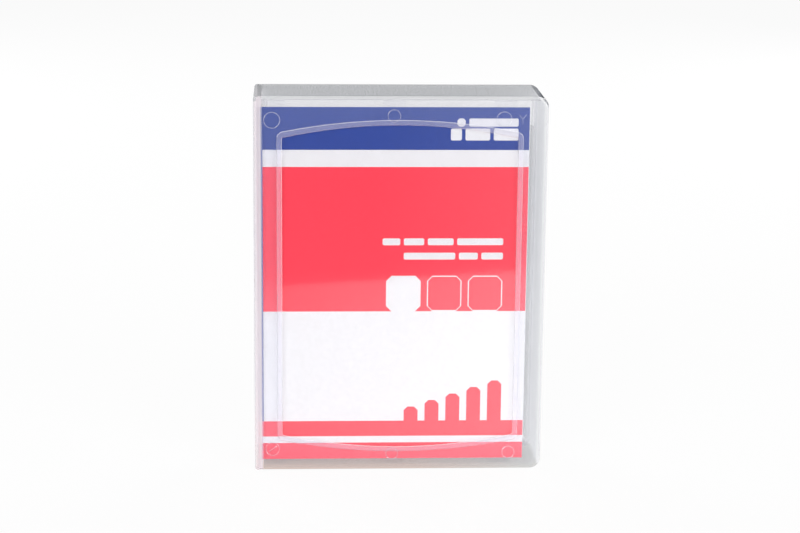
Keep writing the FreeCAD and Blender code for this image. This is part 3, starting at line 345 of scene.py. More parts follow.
def layer_masks(tree, at, lean, height):
    """Masks by depth, and of the raised frame's slopes by the way that the surface leans."""
    depth = add(tree, "ShaderNodeMath", {"operation": "ABSOLUTE"}, {0: at.outputs["Y"]})
    clear = add(tree, "ShaderNodeMath", {"operation": "GREATER_THAN"}, {0: depth, 1: CLEAR_INNER_MM * MM})
    panel = add(tree, "ShaderNodeMath", {"operation": "GREATER_THAN"}, {0: depth, 1: PANEL_INNER_MM * MM})
    raised = add(tree, "ShaderNodeMath", {"operation": "LESS_THAN"}, {
        0: at.outputs["Y"], 1: FRAME_FOOT_MM * MM})
    frontal = add(tree, "ShaderNodeMath", {"operation": "ABSOLUTE"}, {0: lean.outputs["Y"]})
    leaning = add(tree, "ShaderNodeMath", {"operation": "LESS_THAN"}, {0: frontal, 1: SLOPE_LIMIT})
    slope = add(tree, "ShaderNodeMath", {"operation": "MULTIPLY"}, {0: raised, 1: leaning})
    inner = add(tree, "ShaderNodeMath", {"operation": "LESS_THAN"}, {0: depth, 1: TAB_OUTER_MM * MM})
    between = add(tree, "ShaderNodeMath", {"operation": "MULTIPLY"}, {0: clear, 1: inner})
    inside = add(tree, "ShaderNodeMath", {"operation": "LESS_THAN"}, {0: height, 1: TAB_REACH_MM * MM})
    tabs = add(tree, "ShaderNodeMath", {"operation": "MULTIPLY"}, {0: between, 1: inside})
    return {"clear": clear, "panel": panel, "raised": raised, "slope": slope, "tabs": tabs}

# %% [markdown]
# The last masks are for the edges. At the two folds the plastic is strained and whiter. The border
# past the card is satin and has nothing behind it. The top has two more, for its outermost
# millimetre or two: a crown on the tray, where grey milk is painted shade on its top edge, and a
# bright brow on the front. The round upper corner at the free side gets a painted dark refraction
# in its rim, which stands for a dark part of the room that it bends in, most of all towards the
# front. And painted light from the table brightens the walls towards their foot.

# %% Masks of the edges
STRAIN_INNER_MM, STRAIN_OUTER_MM = -50.0, -51.2
CROWN_MM = 139.2
BROW_MM = 140.1
CORNER_REACH_MM = 190.8
CORNER_BACK_MM, CORNER_FRONT_MM = 15.0, -13.0
# strength of the corner's painted dark refraction at the back and at the front
DARK_AT_BACK, DARK_AT_FRONT = 0.45, 0.95
UNLIT_MM, LIT_MM = 130.0, 30.0
leaf_low, leaf_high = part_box("insert_front_leaf")


def edge_masks(tree, at, clear, panel):
    """Masks of the folds, the border, the top's outermost edges, the corner, and the table's light."""
    bent = add(tree, "ShaderNodeMapRange", {"interpolation_type": "SMOOTHSTEP"}, {
        0: at.outputs["X"], 1: STRAIN_INNER_MM * MM, 2: STRAIN_OUTER_MM * MM, 3: 0.0, 4: 1.0})
    fold = add(tree, "ShaderNodeMath", {"operation": "MULTIPLY"}, {0: bent, 1: clear})
    past = add(tree, "ShaderNodeMath", {"operation": "GREATER_THAN"}, {0: at.outputs["X"], 1: leaf_high.x})
    level = add(tree, "ShaderNodeMath", {"operation": "SUBTRACT"}, {
        0: at.outputs["Z"], 1: (leaf_low.z + leaf_high.z) / 2})
    reach = add(tree, "ShaderNodeMath", {"operation": "ABSOLUTE"}, {0: level})
    above = add(tree, "ShaderNodeMath", {"operation": "GREATER_THAN"}, {
        0: reach, 1: (leaf_high.z - leaf_low.z) / 2})
    border = add(tree, "ShaderNodeMath", {"operation": "MAXIMUM"}, {0: past, 1: above})
    # the tray's top edge, which gets painted shade
    crown = add(tree, "ShaderNodeMath", {"operation": "GREATER_THAN"}, {0: at.outputs["Z"], 1: CROWN_MM * MM})
    topmost = add(tree, "ShaderNodeMath", {"operation": "GREATER_THAN"}, {
        0: at.outputs["Z"], 1: BROW_MM * MM})
    brow = add(tree, "ShaderNodeMath", {"operation": "MULTIPLY"}, {0: topmost, 1: panel})
    # the round corner, whose rim gets a painted dark refraction, darker towards the front
    sum_xz = add(tree, "ShaderNodeMath", {"operation": "ADD"}, {0: at.outputs["X"], 1: at.outputs["Z"]})
    corner = add(tree, "ShaderNodeMath", {"operation": "GREATER_THAN"}, {0: sum_xz, 1: CORNER_REACH_MM * MM})
    forward = add(tree, "ShaderNodeMapRange", inputs={
        0: at.outputs["Y"], 1: CORNER_BACK_MM * MM, 2: CORNER_FRONT_MM * MM,
        3: DARK_AT_BACK, 4: DARK_AT_FRONT})
    dark = add(tree, "ShaderNodeMath", {"operation": "MULTIPLY"}, {0: corner, 1: forward})
    # painted light from the table, strongest at the walls' foot
    lit = add(tree, "ShaderNodeMapRange", inputs={
        0: at.outputs["Z"], 1: UNLIT_MM * MM, 2: LIT_MM * MM, 3: 0.0, 4: 1.0})
    return {"fold": fold, "border": border, "crown": crown, "brow": brow,
            "corner": corner, "painted_refraction_corner": dark, "lit": lit}


def wall_masks(tree):
    """All the masks that a wall needs, by name."""
    coordinates = add(tree, "ShaderNodeTexCoord")
    at = add(tree, "ShaderNodeSeparateXYZ", inputs={0: coordinates.outputs["Object"]})
    lean = add(tree, "ShaderNodeSeparateXYZ", inputs={0: coordinates.outputs["Normal"]})
    offset = add(tree, "ShaderNodeMath", {"operation": "SUBTRACT"}, {0: at.outputs["Z"], 1: WINDOW_Z_MM * MM})
    height = add(tree, "ShaderNodeMath", {"operation": "ABSOLUTE"}, {0: offset})
    masks = {"window": window_mask(tree, at, height)}
    masks.update(layer_masks(tree, at, lean, height))
    masks.update(edge_masks(tree, at, masks["clear"], masks["panel"]))
    return masks

# %% [markdown]
# With the masks, a finish is laid in layers: a value for the whole moulding, then others over it,
# each where its mask is 1. The first is the milk, the share of the light that a place scatters.
# The frost is an etch of a few hundredths of a millimetre, drawn coarser so that it shows. Noise
# textures keep mostly between 0.3 and 0.7, so that is the range that their values are stretched
# from, here and in the other finishes.

# %% How milky each place is
NOISE_LOW, NOISE_HIGH = 0.3, 0.7
FROSTED_MILK = 0.30
FROSTED_SPREAD = 0.015
WINDOW_MILK = 0.003
FRAME_MILK = 0.25
STRAINED_MILK = 0.5
# grey milk on the tray's top edge: painted shade
CROWN_SHADE_MILK = 0.5


def lay_over(tree, value, *layers):
    """Stack of layers: further values lie over the first one, each where its own mask is 1."""
    for mask, over in layers:
        value = add(tree, "ShaderNodeMix", inputs={0: mask, 2: value, 3: over})
    return value


def milk_share(tree, masks, grain, panel_milk, has_window):
    """Share of the light that each place of the wall scatters."""
    frost = add(tree, "ShaderNodeMapRange", inputs={
        0: grain, 1: NOISE_LOW, 2: NOISE_HIGH,
        3: FROSTED_MILK - FROSTED_SPREAD, 4: FROSTED_MILK + FROSTED_SPREAD})
    if not has_window:
        return lay_over(tree, frost, (masks["clear"], panel_milk), (masks["fold"], STRAINED_MILK),
                        (masks["crown"], CROWN_SHADE_MILK))
    plate = add(tree, "ShaderNodeMix", inputs={0: masks["window"], 2: panel_milk, 3: WINDOW_MILK})
    return lay_over(tree, frost, (masks["clear"], plate), (masks["fold"], STRAINED_MILK),
                    (masks["raised"], FRAME_MILK), (masks["tabs"], 0.0))

# %% [markdown]
# The second is the surface. Etched places are rough and hardly shine, the satin plate shines a
# little, and the polished window is smooth. On the slopes of the raised frame and along the top's
# front edge the mould's polish meets the light of the lamps, which draws bright lines there.

# %% Roughness and gloss
ETCHED_ROUGHNESS = (0.24, 0.32)
SATIN_ROUGHNESS = 0.12
POLISHED_ROUGHNESS = 0.05
TRAY_ROUGHNESS = 0.16
SLOPE_ROUGHNESS = 0.2
FROSTED_GLOSS = 0.02
FRONT_GLOSS = 0.068
TRAY_GLOSS = 0.03
BORDER_GLOSS = 0.03
SLOPE_GLOSS = 0.42
BROW_GLOSS = 0.25


def wall_surface(tree, masks, grain, has_window):
    """How rough the wall is, and the share that it mirrors when seen from straight in front."""
    etched = add(tree, "ShaderNodeMapRange", inputs={
        0: grain, 1: NOISE_LOW, 2: NOISE_HIGH, 3: ETCHED_ROUGHNESS[0], 4: ETCHED_ROUGHNESS[1]})
    if not has_window:
        roughness = add(tree, "ShaderNodeMix", inputs={0: masks["panel"], 2: etched, 3: TRAY_ROUGHNESS})
        gloss = lay_over(tree, FROSTED_GLOSS, (masks["panel"], TRAY_GLOSS), (masks["border"], BORDER_GLOSS))
        return roughness, gloss
    polish = add(tree, "ShaderNodeMix", inputs={
        0: masks["window"], 2: SATIN_ROUGHNESS, 3: POLISHED_ROUGHNESS})
    roughness = lay_over(tree, etched, (masks["panel"], polish), (masks["slope"], SLOPE_ROUGHNESS))
    gloss = lay_over(tree, FROSTED_GLOSS, (masks["panel"], FRONT_GLOSS), (masks["border"], BORDER_GLOSS),
                     (masks["slope"], SLOPE_GLOSS), (masks["tabs"], 0.0), (masks["brow"], BROW_GLOSS))
    return roughness, gloss

# %% [markdown]
# The third is what the light does on its way. A milky plate scatters it back to the front, and a
# frosted wall also lets it through to the other side, which is what the Translucent shader does.
# Light that passes straight through is tinted where the eye looks along the wall, because there
# it is thick and swallows some of it.

# %% Milk and clear plastic
PLATE_THROUGH = 0.1
FROST_THROUGH = 0.5
GLANCING_POWER = 4.0


def scattered(tree, masks, panel_hue, has_window):
    """Shader for the share of the light that the milk scatters."""
    hue = linear(panel_hue)
    layers = [("border", "#F0F1F2"), ("raised", "#E2E0F4"), ("fold", "#E8DFE4")]
    if not has_window:
        # painted shade: grey milk darkens the tray's top edge
        layers.append(("crown", "#B6B8BA"))
    for mask, over in layers:
        hue = add(tree, "ShaderNodeMix", {"data_type": "RGBA"}, {0: masks[mask], 6: hue, 7: linear(over)})
    milk = add(tree, "ShaderNodeBsdfDiffuse", inputs={"Color": hue})
    glow = add(tree, "ShaderNodeBsdfTranslucent", inputs={"Color": hue})
    through = add(tree, "ShaderNodeMix", inputs={0: masks["clear"], 2: FROST_THROUGH, 3: PLATE_THROUGH})
    return add(tree, "ShaderNodeMixShader", inputs={0: through, 1: milk, 2: glow})


def passed_through(tree, masks, glancing):
    """Shader for the light that goes straight through the wall."""
    # deeper tint where the wall is seen thick, lighter towards the foot: painted light from the table
    thick_and_table_lit = add(tree, "ShaderNodeMix", {"data_type": "RGBA"}, {
        0: masks["lit"], 6: linear("#DADCDE"), 7: linear("#E4E6E7")})
    tint = add(tree, "ShaderNodeMix", {"data_type": "RGBA"}, {0: glancing, 6: linear("#FDFDFE"), 7: thick_and_table_lit})
    return add(tree, "ShaderNodeBsdfTransparent", inputs={"Color": tint})

# %% [markdown]
# Then the wall is put together. Its gloss grows towards glancing angles, except on a wall that is
# seen through another one, because that has lost its shine to the one in front. The dark rim of
# the round corner is a painted dark refraction, drawn as a deep tint that lets light through and
# shows only at glancing angles.

# %% The wall, and its two mouldings
FROST_GRAIN_MM = 0.6
EDGE_GLOSS = 0.2
CORNER_GLOSS = 0.02
RIM_FROM, RIM_FULL = 0.66, 0.96


def milky_wall(name, panel_milk, panel_hue, has_window):
    """Moulded polypropylene wall: see-through, more or less milky, glossy at glancing angles."""
    material, tree = start_material(name)
    coordinates = add(tree, "ShaderNodeTexCoord")
    grain = add(tree, "ShaderNodeTexNoise", inputs={
        "Vector": coordinates.outputs["Object"], "Scale": 1 / (FROST_GRAIN_MM * MM), "Detail": 3.0})
    masks = wall_masks(tree)
    share = milk_share(tree, masks, grain, panel_milk, has_window)
    roughness, gloss = wall_surface(tree, masks, grain, has_window)
    facing = add(tree, "ShaderNodeLayerWeight", inputs={"Blend": 0.5}).outputs["Facing"]
    glancing = add(tree, "ShaderNodeMath", {"operation": "POWER"}, {0: facing, 1: GLANCING_POWER})
    clear = passed_through(tree, masks, glancing)
    milk = scattered(tree, masks, panel_hue, has_window)
    wall = add(tree, "ShaderNodeMixShader", inputs={0: share, 1: clear, 2: milk})
    path = add(tree, "ShaderNodeLightPath")
    behind = add(tree, "ShaderNodeMath", {"operation": "MINIMUM"}, {
        0: path.outputs["Transparent Depth"], 1: 1.0})
    dull = [(masks["corner"], CORNER_GLOSS), (behind, 0.0)]
    if has_window:
        dull.append((masks["tabs"], 0.0))
    edge_gloss = lay_over(tree, EDGE_GLOSS, *dull)
    sheen = add(tree, "ShaderNodeMath", {"operation": "MULTIPLY_ADD"}, {0: glancing, 1: edge_gloss, 2: gloss})
    mirror = add(tree, "ShaderNodeBsdfGlossy", inputs={"Color": linear("#FFFFFF"), "Roughness": roughness})
    glossy_wall = add(tree, "ShaderNodeMixShader", inputs={0: sheen, 1: wall, 2: mirror})
    # painted dark refraction in the round corner's rim, at glancing angles
    rim = add(tree, "ShaderNodeMapRange", inputs={0: facing, 1: RIM_FROM, 2: RIM_FULL, 3: 0.0, 4: 1.0})
    dark_refraction_share = add(tree, "ShaderNodeMath", {"operation": "MULTIPLY"}, {0: rim, 1: masks["painted_refraction_corner"]})
    painted_dark_refraction = add(tree, "ShaderNodeBsdfTransparent", inputs={"Color": linear("#454B58")})
    finish_material(tree, add(tree, "ShaderNodeMixShader", inputs={
        0: dark_refraction_share, 1: glossy_wall, 2: painted_dark_refraction}))
    return material


cover_polypropylene = milky_wall(
    "polished and satin polypropylene", panel_milk=0.046, panel_hue="#D8E1FD", has_window=True)
tray_polypropylene = milky_wall(
    "frosted polypropylene", panel_milk=0.14, panel_hue="#EEEFF0", has_window=False)
print("walls scatter", FROSTED_MILK, "where frosted and", WINDOW_MILK, "in the window")

# %% [markdown]
# ## Printed card
# The insert is one folded sheet of white coated card, printed in two inks. Coated card is smooth
# with a weak sheen, and its fibres make the white very slightly uneven. Offset ink lies so thin
# that it takes the card's surface. Its dots are a tenth of a millimetre and can't be seen from
# here, so what is left of them is a faint mottle of a millimetre or so. All three finishes share
# one recipe with their own colours.

# %% Card and inks
CARD_MOTTLE_MM = 1.4
CARD_FIBRE_MM = 0.5
FIBRE_HEIGHT_MM = 0.01
CARD_SPREAD = 0.05


def printed_card(name, colour, deeper, roughness):
    """Coated card or the ink on it: a colour with a faint mottle, and a fine fibre bump."""
    material, tree = start_material(name)
    place = add(tree, "ShaderNodeTexCoord").outputs["Object"]
    mottle = add(tree, "ShaderNodeTexNoise", inputs={
        "Vector": place, "Scale": 1 / (CARD_MOTTLE_MM * MM), "Detail": 4.0})
    fibre = add(tree, "ShaderNodeTexNoise", inputs={
        "Vector": place, "Scale": 1 / (CARD_FIBRE_MM * MM), "Detail": 2.0})
    tone = add(tree, "ShaderNodeMapRange", inputs={0: mottle, 1: NOISE_LOW, 2: NOISE_HIGH, 3: 0.0, 4: 1.0})
    mix = add(tree, "ShaderNodeMix", {"data_type": "RGBA"}, {0: tone, 6: linear(colour), 7: linear(deeper)})
    rough = add(tree, "ShaderNodeMapRange", inputs={
        0: mottle, 1: NOISE_LOW, 2: NOISE_HIGH, 3: roughness - CARD_SPREAD, 4: roughness + CARD_SPREAD})
    bump = add(tree, "ShaderNodeBump", inputs={
        "Height": fibre, "Strength": 0.25, "Distance": FIBRE_HEIGHT_MM * MM})
    finish_material(tree, add(tree, "ShaderNodeBsdfPrincipled", inputs={
        "Base Color": mix, "Roughness": rough, "Specular IOR Level": 0.3, "Normal": bump}))
    return material


# its colour and the deeper one of its mottle, and its roughness
coated_card = printed_card("white coated card", "#F0EFF0", "#EBEAEA", 0.42)
blue_offset_ink = printed_card("blue offset ink", "#374E9E", "#344A97", 0.34)
red_offset_ink = printed_card("red offset ink", "#FF4759", "#FC4456", 0.34)
print("the card's mottle is", CARD_MOTTLE_MM, "mm and its fibres", CARD_FIBRE_MM, "mm wide")

# %% [markdown]
# ## Moulded plastics
# The cartridge is made of tough dark plastic from a mould with a spark-eroded skin: tiny round
# pits that take the shine away and hide scratches. The same recipe serves the connectors, the
# slider, the ramp and the soft bumpers, with their own colours, grain and sheen. The real pits
# are a tenth of a millimetre, which is finer than one dot of the picture, so they are drawn a few
# times larger. The colour drifts over a centimetre or two, as the melt flowed, and where hands rub
# it, the plastic is lighter and smoother.

# %% Moulded plastic recipe
FLOW_MM = 18.0
RUBBED_FROM, RUBBED_FULL = 0.35, 0.75
WORN_FROM, WORN_FULL = 0.3, 0.8
UNWORN_ROUGHER, WORN_SMOOTHER = 0.06, 0.08


def moulded(name, colour, rubbed, grain_mm, roughness, depth_mm):
    """Moulded plastic: spark-eroded grain, a slightly uneven colour, and lighter rubbed spots."""
    material, tree = start_material(name)
    place = add(tree, "ShaderNodeTexCoord").outputs["Object"]
    pits = add(tree, "ShaderNodeTexVoronoi", {"feature": "SMOOTH_F1"}, {
        "Vector": place, "Scale": 1 / (grain_mm * MM)})
    flow = add(tree, "ShaderNodeTexNoise", inputs={
        "Vector": place, "Scale": 1 / (FLOW_MM * MM), "Detail": 5.0})
    tone = add(tree, "ShaderNodeMapRange", inputs={0: flow, 1: RUBBED_FROM, 2: RUBBED_FULL, 3: 0.0, 4: 1.0})
    mix = add(tree, "ShaderNodeMix", {"data_type": "RGBA"}, {0: tone, 6: linear(colour), 7: linear(rubbed)})
    rough = add(tree, "ShaderNodeMapRange", inputs={
        0: flow, 1: WORN_FROM, 2: WORN_FULL,
        3: roughness + UNWORN_ROUGHER, 4: roughness - WORN_SMOOTHER})
    bump = add(tree, "ShaderNodeBump", inputs={"Height": pits, "Strength": 0.6, "Distance": depth_mm * MM})
    finish_material(tree, add(tree, "ShaderNodeBsdfPrincipled", inputs={
        "Base Color": mix, "Roughness": rough, "Normal": bump}))
    return material


# its colour and the rubbed one, the width of its grain, its roughness, and the grain's depth
shell_plastic = moulded("black moulded polycarbonate blend", "#1B1D21", "#23252A", 0.55, 0.52, 0.03)
grip_plastic = moulded("dark grey moulded grip", "#2B2E33", "#363A40", 0.7, 0.58, 0.05)
slider_plastic = moulded("pale moulded acetal", "#D6D7DB", "#E2E3E6", 0.5, 0.38, 0.01)
bumper_rubber = moulded("soft moulded elastomer", "#17181A", "#202124", 0.4, 0.78, 0.02)
connector_plastic = moulded("black liquid crystal polymer", "#101113", "#191A1C", 0.4, 0.42, 0.01)
ramp_plastic = moulded("cream bearing plastic", "#D8D2BE", "#E3DECC", 0.4, 0.4, 0.01)
print("moulded colours drift over", FLOW_MM, "mm")

# %% [markdown]
# ## Metals
# A metal has no colour of its own beneath the surface: its base colour tints the reflection, and
# how it was made shows in the roughness. Cast aluminium is sandy, stamped lids are brushed along
# one direction, and plated screws and magnets are smooth. One recipe stretches a noise pattern:
# equal lengths give cast grain, a long and two short ones give brushing.

# %% Metal recipe
def metal(name, colour, darker, streak_mm, roughness, spread, depth_mm):
    """Metal with a grain of the given size along X, Y and Z, in millimetres."""
    material, tree = start_material(name)
    coordinates = add(tree, "ShaderNodeTexCoord")
    size = add(tree, "ShaderNodeMapping", inputs={
        "Vector": coordinates.outputs["Object"], "Scale": [1 / (s * MM) for s in streak_mm]})
    grain = add(tree, "ShaderNodeTexNoise", inputs={"Vector": size, "Scale": 1.0, "Detail": 4.0})
    mix = add(tree, "ShaderNodeMix", {"data_type": "RGBA"}, {0: grain, 6: linear(darker), 7: linear(colour)})
    rough = add(tree, "ShaderNodeMapRange", inputs={
        0: grain, 1: NOISE_LOW, 2: NOISE_HIGH, 3: roughness - spread, 4: roughness + spread})
    bump = add(tree, "ShaderNodeBump", inputs={"Height": grain, "Strength": 0.4, "Distance": depth_mm * MM})
    finish_material(tree, add(tree, "ShaderNodeBsdfPrincipled", inputs={
        "Base Color": mix, "Metallic": 1.0, "Roughness": rough, "Normal": bump}))
    return material


# its colour and the darker one, its grain, its roughness and how far that varies, and the depth
plated_steel = metal("nickel plated steel", "#C9CACC", "#B2B3B6", (0.8, 0.8, 0.8), 0.3, 0.05, 0.005)
cast_aluminium = metal("cast aluminium", "#C4C6C9", "#A5A7AA", (0.5, 0.5, 0.5), 0.46, 0.08, 0.03)
brushed_lid = metal("brushed stainless lid", "#D0D1D3", "#B9BABD", (0.3, 0.3, 14.0), 0.32, 0.07, 0.006)
plated_magnet = metal("nickel plated magnet", "#CDCDCB", "#BDBDBB", (1.5, 1.5, 1.5), 0.2, 0.04, 0.004)
print("four metals")

# %% [markdown]
# ## Disks, coil, boards and filter
# The disks are glass or aluminium with a mirror layer, lapped in circles round the spindle, so
# their faint rings follow the distance from its axis. The real ones are far too fine to see and
# are drawn nearly a millimetre apart.

# %% Mirror disks
RING_PITCH_MM = 0.9
RING_HEIGHT_MM = 0.001
SMOOTH_RING, DULL_RING = 0.03, 0.08
disk_low, disk_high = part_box("platters")
spindle = (disk_low + disk_high) / 2
mirror_disk, tree = start_material("lapped mirror disk")
coordinates = add(tree, "ShaderNodeTexCoord")
centred = add(tree, "ShaderNodeMapping", inputs={
    "Vector": coordinates.outputs["Object"], "Location": -spindle, "Scale": (1, 0, 1)})
away = add(tree, "ShaderNodeVectorMath", {"operation": "LENGTH"}, {0: centred})
turns = add(tree, "ShaderNodeMath", {"operation": "MULTIPLY"}, {0: away, 1: math.tau / (RING_PITCH_MM * MM)})
rings = add(tree, "ShaderNodeMath", {"operation": "SINE"}, {0: turns})
rough = add(tree, "ShaderNodeMapRange", inputs={0: rings, 1: -1.0, 2: 1.0, 3: SMOOTH_RING, 4: DULL_RING})
bump = add(tree, "ShaderNodeBump", inputs={
    "Height": rings, "Strength": 0.06, "Distance": RING_HEIGHT_MM * MM})
finish_material(tree, add(tree, "ShaderNodeBsdfPrincipled", inputs={
    "Base Color": linear("#D3D4D6"), "Metallic": 1.0, "Roughness": rough, "Normal": bump}))
print("disk axis in mm", [round(v / MM, 2) for v in spindle])

# %% [markdown]
# The coil is enamelled copper wire laid in flat turns, which a wave texture draws: it is bright
# along the wires and darker between them, which is painted shade in the gaps. The wire is a few
# tenths of a millimetre thick, so its turns are drawn coarser, about a millimetre apart. A wave
# texture that runs diagonally adds the three coordinates, takes ten times the sum as an angle and
# so has its own spacing at a scale of 1.

# %% Copper coil
TURNS_APART_MM = 1.025
DIAGONAL_SPACING = math.tau / (10 * math.sqrt(3))
WIRE_HEIGHT_MM = 0.1
copper_winding, tree = start_material("enamelled copper winding")
coordinates = add(tree, "ShaderNodeTexCoord")
wires = add(tree, "ShaderNodeTexWave", {"bands_direction": "DIAGONAL", "wave_profile": "SIN"}, {
    "Vector": coordinates.outputs["Object"],
    "Scale": DIAGONAL_SPACING / (TURNS_APART_MM * MM),
    "Distortion": 0.4}).outputs["Fac"]
# darker between the wires: painted shade in the gaps
mix = add(tree, "ShaderNodeMix", {"data_type": "RGBA"}, {
    0: wires, 6: linear("#7A3F1E"), 7: linear("#C9783F")})
bump = add(tree, "ShaderNodeBump", inputs={"Height": wires, "Strength": 0.7, "Distance": WIRE_HEIGHT_MM * MM})
finish_material(tree, add(tree, "ShaderNodeBsdfPrincipled", inputs={
    "Base Color": mix, "Metallic": 1.0, "Roughness": 0.3, "Normal": bump}))
print("the coil's turns are drawn", TURNS_APART_MM, "mm apart")

# %% [markdown]
# The boards are green solder mask over copper tracks, which stand a little proud and shine through
# as lighter green. The lines between a Voronoi texture's cells make a net that looks like tracks.
# The texture measures the way to a cell's edge in cells, so the line's width is a share of one.

# %% Green board
TRACK_CELL_MM = 4.4
LINE_FULL, LINE_END = 0.03, 0.06  # shares of a cell
TRACK_HEIGHT_MM = 0.03
green_board, tree = start_material("green solder mask over copper tracks")
coordinates = add(tree, "ShaderNodeTexCoord")
tracks = add(tree, "ShaderNodeTexVoronoi", {"feature": "DISTANCE_TO_EDGE", "distance": "EUCLIDEAN"}, {
    "Vector": coordinates.outputs["Object"], "Scale": 1 / (TRACK_CELL_MM * MM), "Randomness": 0.35})
line = add(tree, "ShaderNodeMapRange", inputs={0: tracks, 1: LINE_FULL, 2: LINE_END, 3: 1.0, 4: 0.0})
mix = add(tree, "ShaderNodeMix", {"data_type": "RGBA"}, {0: line, 6: linear("#0C4A2C"), 7: linear("#2B7A4A")})
bump = add(tree, "ShaderNodeBump", inputs={"Height": line, "Strength": 0.5, "Distance": TRACK_HEIGHT_MM * MM})
finish_material(tree, add(tree, "ShaderNodeBsdfPrincipled", inputs={
    "Base Color": mix, "Roughness": 0.28, "Coat Weight": 0.3, "Coat Roughness": 0.1, "Normal": bump}))
print("tracks of a net with", TRACK_CELL_MM, "mm cells")

# %% [markdown]
# The filter is a pad of white fibres: noise with much detail and some distortion looks matted.

# %% Filter pad
FIBRE_MM = 0.5
PAD_HEIGHT_MM = 0.1
fibre_pad, tree = start_material("white fibre pad")
coordinates = add(tree, "ShaderNodeTexCoord")
fibres = add(tree, "ShaderNodeTexNoise", inputs={
    "Vector": coordinates.outputs["Object"], "Scale": 1 / (FIBRE_MM * MM), "Detail": 6.0, "Distortion": 1.5})
mix = add(tree, "ShaderNodeMix", {"data_type": "RGBA"}, {
    0: fibres, 6: linear("#CFCFCA"), 7: linear("#F0F0EC")})
bump = add(tree, "ShaderNodeBump", inputs={"Height": fibres, "Strength": 0.8, "Distance": PAD_HEIGHT_MM * MM})
finish_material(tree, add(tree, "ShaderNodeBsdfPrincipled", inputs={
    "Base Color": mix, "Roughness": 0.95, "Normal": bump}))
print("pad of", FIBRE_MM, "mm fibres")

# %% [markdown]
# ## Dress the model
# Every piece of the model names the slot that its finish comes from, so one table is enough to
# dress all of them. Only the cover has the polished window, and the tray and the spine are frosted
# all over.

# %% Give each piece its finish
finishes = {
    "clear_plastic": tray_polypropylene,
    "card": coated_card,
    "blue_ink": blue_offset_ink,
    "red_ink": red_offset_ink,
    "shell_plastic": shell_plastic,
    "grip_plastic": grip_plastic,
    "slider_plastic": slider_plastic,
    "steel": plated_steel,
    "bumper_rubber": bumper_rubber,
    "board": green_board,
    "connector_plastic": connector_plastic,
    "cast_metal": cast_aluminium,
    "lid_metal": brushed_lid,
    "platter_metal": mirror_disk,
    "coil_copper": copper_winding,
    "magnet_metal": plated_magnet,
    "ramp_plastic": ramp_plastic,
    "filter_cloth": fibre_pad,
}


def dress(node_name, finish):
    """Replaces a piece's stand-in material."""
    materials = frame["nodes"][node_name].data.materials
    materials.clear()
    materials.append(finish)


for entry in frame["record"]["subparts"]:
    dress(entry["node"], finishes[entry["material_slot"]])
dress("case_cover", cover_polypropylene)

# %% [markdown]
# ## From mesh to piece
# The details that follow are built with Blender's mesh operators, and each ends in the same way:
# corners that fall together are merged, the faces are turned outwards, and the mesh becomes an
# object with a material, which follows one of the moving parts when the case opens if one is named.

# %% A finished piece
MERGE_MM = 0.001


def finish_piece(name, mesh, material, body=None):
    """Turns a finished bmesh into an object, riding on a body of the model if one is named."""
    bmesh.ops.remove_doubles(mesh, verts=mesh.verts, dist=MERGE_MM * MM)
    bmesh.ops.recalc_face_normals(mesh, faces=mesh.faces)
    data = bpy.data.meshes.new(name)
    mesh.to_mesh(data)
    mesh.free()
    data.materials.append(material)
    piece = bpy.data.objects.new(name, data)
    bpy.context.scene.collection.objects.link(piece)
    if body:
        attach(piece, body)
    return piece

# %% [markdown]
# ## Ejector marks
# When the moulding cools, pins push it out of the mould, and each pin leaves a faint ring. The
# cover has six, near its top and bottom edges. A ring is a small ridge turned once round its own
# axis, so one short profile and one full spin make it. The ridge starts a little below the cover's
# face, so that no gap shows at its foot.

# %% Six faint rings on the cover
FRAME_RISE_MM = 0.4
RIDGE_WIDTH_MM = 0.34
RIDGE_HEIGHT_MM = 0.1
ROOT_MM = 0.02
RING_STEPS = 32
plate_face = case_low.y + FRAME_RISE_MM * MM
# in mm: across and up from the origin, and the ring's diameter
pin_marks = [(-46.8, 132.4, 5.8), (-2.6, 134.0, 4.6), (37.3, 132.9, 5.4),
             (-46.9, 8.2, 5.0), (-2.4, 6.2, 4.4), (41.3, 6.5, 4.6)]
profile = [(-RIDGE_WIDTH_MM / 2, ROOT_MM), (0, -RIDGE_HEIGHT_MM), (RIDGE_WIDTH_MM / 2, ROOT_MM)]
marks = bmesh.new()
for x, z, across in pin_marks:
    outer = x + across / 2
    corners = [marks.verts.new(((outer + out) * MM, plate_face + rise * MM, z * MM)) for out, rise in profile]
    edges = [marks.edges.new((corners[i], corners[(i + 1) % 3])) for i in range(3)]
    bmesh.ops.spin(marks, geom=corners + edges, cent=(x * MM, plate_face, z * MM), axis=(0, 1, 0),
                   angle=math.tau, steps=RING_STEPS, use_merge=True)
ejector_marks = finish_piece("ejector_marks", marks, cover_polypropylene, "cover")
print("ejector marks", len(ejector_marks.data.polygons), "faces")

# %% [markdown]
# ## Small mould marks
# Moulders also leave a few short raised lines: here one across the lower left ring, and three that
# meet in the upper right corner. Each is a thin bar with a roof-shaped top: a cube whose front
# face is scaled in, turned to its direction and moved into place.

# %% Short raised lines
BAR_WIDTH_MM = 0.36
BAR_HEIGHT_MM = 0.07
CREST_LENGTH, CREST_WIDTH = 0.9, 0.3


